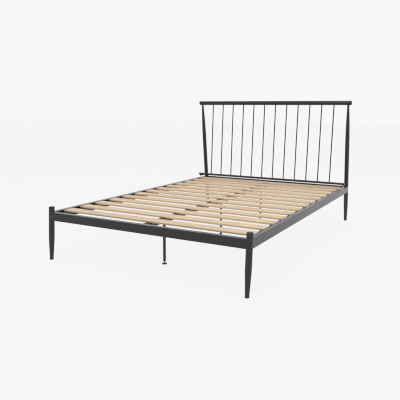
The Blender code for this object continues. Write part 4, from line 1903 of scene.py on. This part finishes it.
@dataclass(frozen=True)
class SoftLamp:
    """A soft rectangular lamp: its middle, its aim, its sides and its radiance."""

    name: str
    location: tuple[float, float, float]
    target: tuple[float, float, float]
    size: tuple[float, float]
    radiance: float

    def build(self) -> None:
        """Make the lamp; the camera itself doesn't see it."""
        data = bpy.data.lights.new(self.name, "AREA")
        data.shape = "RECTANGLE"
        data.size, data.size_y = self.size
        data.energy = self.radiance * math.pi * self.size[0] * self.size[1]
        lamp = bpy.data.objects.new(self.name, data)
        aim = Vector(self.target) - Vector(self.location)
        turn = aim.to_track_quat("-Z", "Y").to_matrix().to_4x4()
        lamp.matrix_world = Matrix.Translation(self.location) @ turn
        lamp.visible_camera = False
        bpy.context.scene.collection.objects.link(lamp)


LAMPS = (SoftLamp("top_lamp", (0.9, -1.6, 4.6), (0.5, 0.4, 0.3), (3.2, 2.6), 3.4),
         SoftLamp("fill_lamp", (5.2, 0.5, 2.6), (0.3, 0.2, 0.4), (3.0, 2.4), 0.6))


@dataclass(frozen=True)
class Studio:
    """A plain pale floor that runs out into a pale surround, and soft lamps.

    floor_shadow is the part of the floor's look that takes light and shadow; the rest glows.
    """

    brightness: float = 0.93
    floor_radius: float = 40.0
    floor_drop: float = 0.0002
    floor_grey: float = 0.93
    floor_glow: float = 0.914
    floor_shadow: float = 0.06

    def build(self) -> None:
        """Make the surround, the floor and the lamps."""
        scene = bpy.context.scene
        scene.view_settings.view_transform = "Standard"
        scene.cycles.filter_width = 1.2
        scene.world = bpy.data.worlds.new("studio")
        scene.world.use_nodes = True
        surround = scene.world.node_tree.nodes["Background"]
        surround.inputs["Color"].default_value = (1, 1, 1, 1)
        surround.inputs["Strength"].default_value = self.brightness
        self._build_floor()
        for lamp in LAMPS:
            lamp.build()

    def _build_floor(self) -> None:
        """A wide disc, part lit and part glowing, so that it keeps soft contact shadows."""
        mesh = turned("floor", [(0, 0), (0, 1.0), (0, 4.0), (0, self.floor_radius)],
                      upright(0, 0, -self.floor_drop), sides=96)
        floor = new_piece("floor", mesh)
        material = bpy.data.materials.new("pale_floor")
        material.use_nodes = True
        nodes, links = material.node_tree.nodes, material.node_tree.links
        nodes.clear()
        matt = nodes.new("ShaderNodeBsdfDiffuse")
        matt.inputs["Color"].default_value = (*[self.floor_grey] * 3, 1)
        glow = nodes.new("ShaderNodeEmission")
        glow.inputs["Strength"].default_value = self.floor_glow
        mix = nodes.new("ShaderNodeMixShader")
        mix.inputs[0].default_value = self.floor_shadow
        output = nodes.new("ShaderNodeOutputMaterial")
        links.new(glow.outputs[0], mix.inputs[1])
        links.new(matt.outputs[0], mix.inputs[2])
        links.new(mix.outputs[0], output.inputs["Surface"])
        floor.data.materials.append(material)


def main() -> None:
    """Build the bed frame's looks, part by part."""
    logging.basicConfig(level=logging.INFO, format="%(message)s", force=True)
    Viewpoint().build()
    finishes = Finishes()
    foot_posts = {side: FootPost(side) for side in Side}
    head_posts = {side: HeadPost(side) for side in Side}
    parts = [*foot_posts.values(), *head_posts.values(), TopRail(), SpindleRow(),
             LowerRail(head_posts), Rails(foot_posts, head_posts), CornerBolts(), SlatBase(),
             CentreRail(), *(CentreLeg(number) for number in (1, 2, 3))]
    for part in parts:
        LOG.info("building %s", type(part).__name__)
        part.build(finishes)
    Studio().build()


if __name__ == "__main__":
    main()
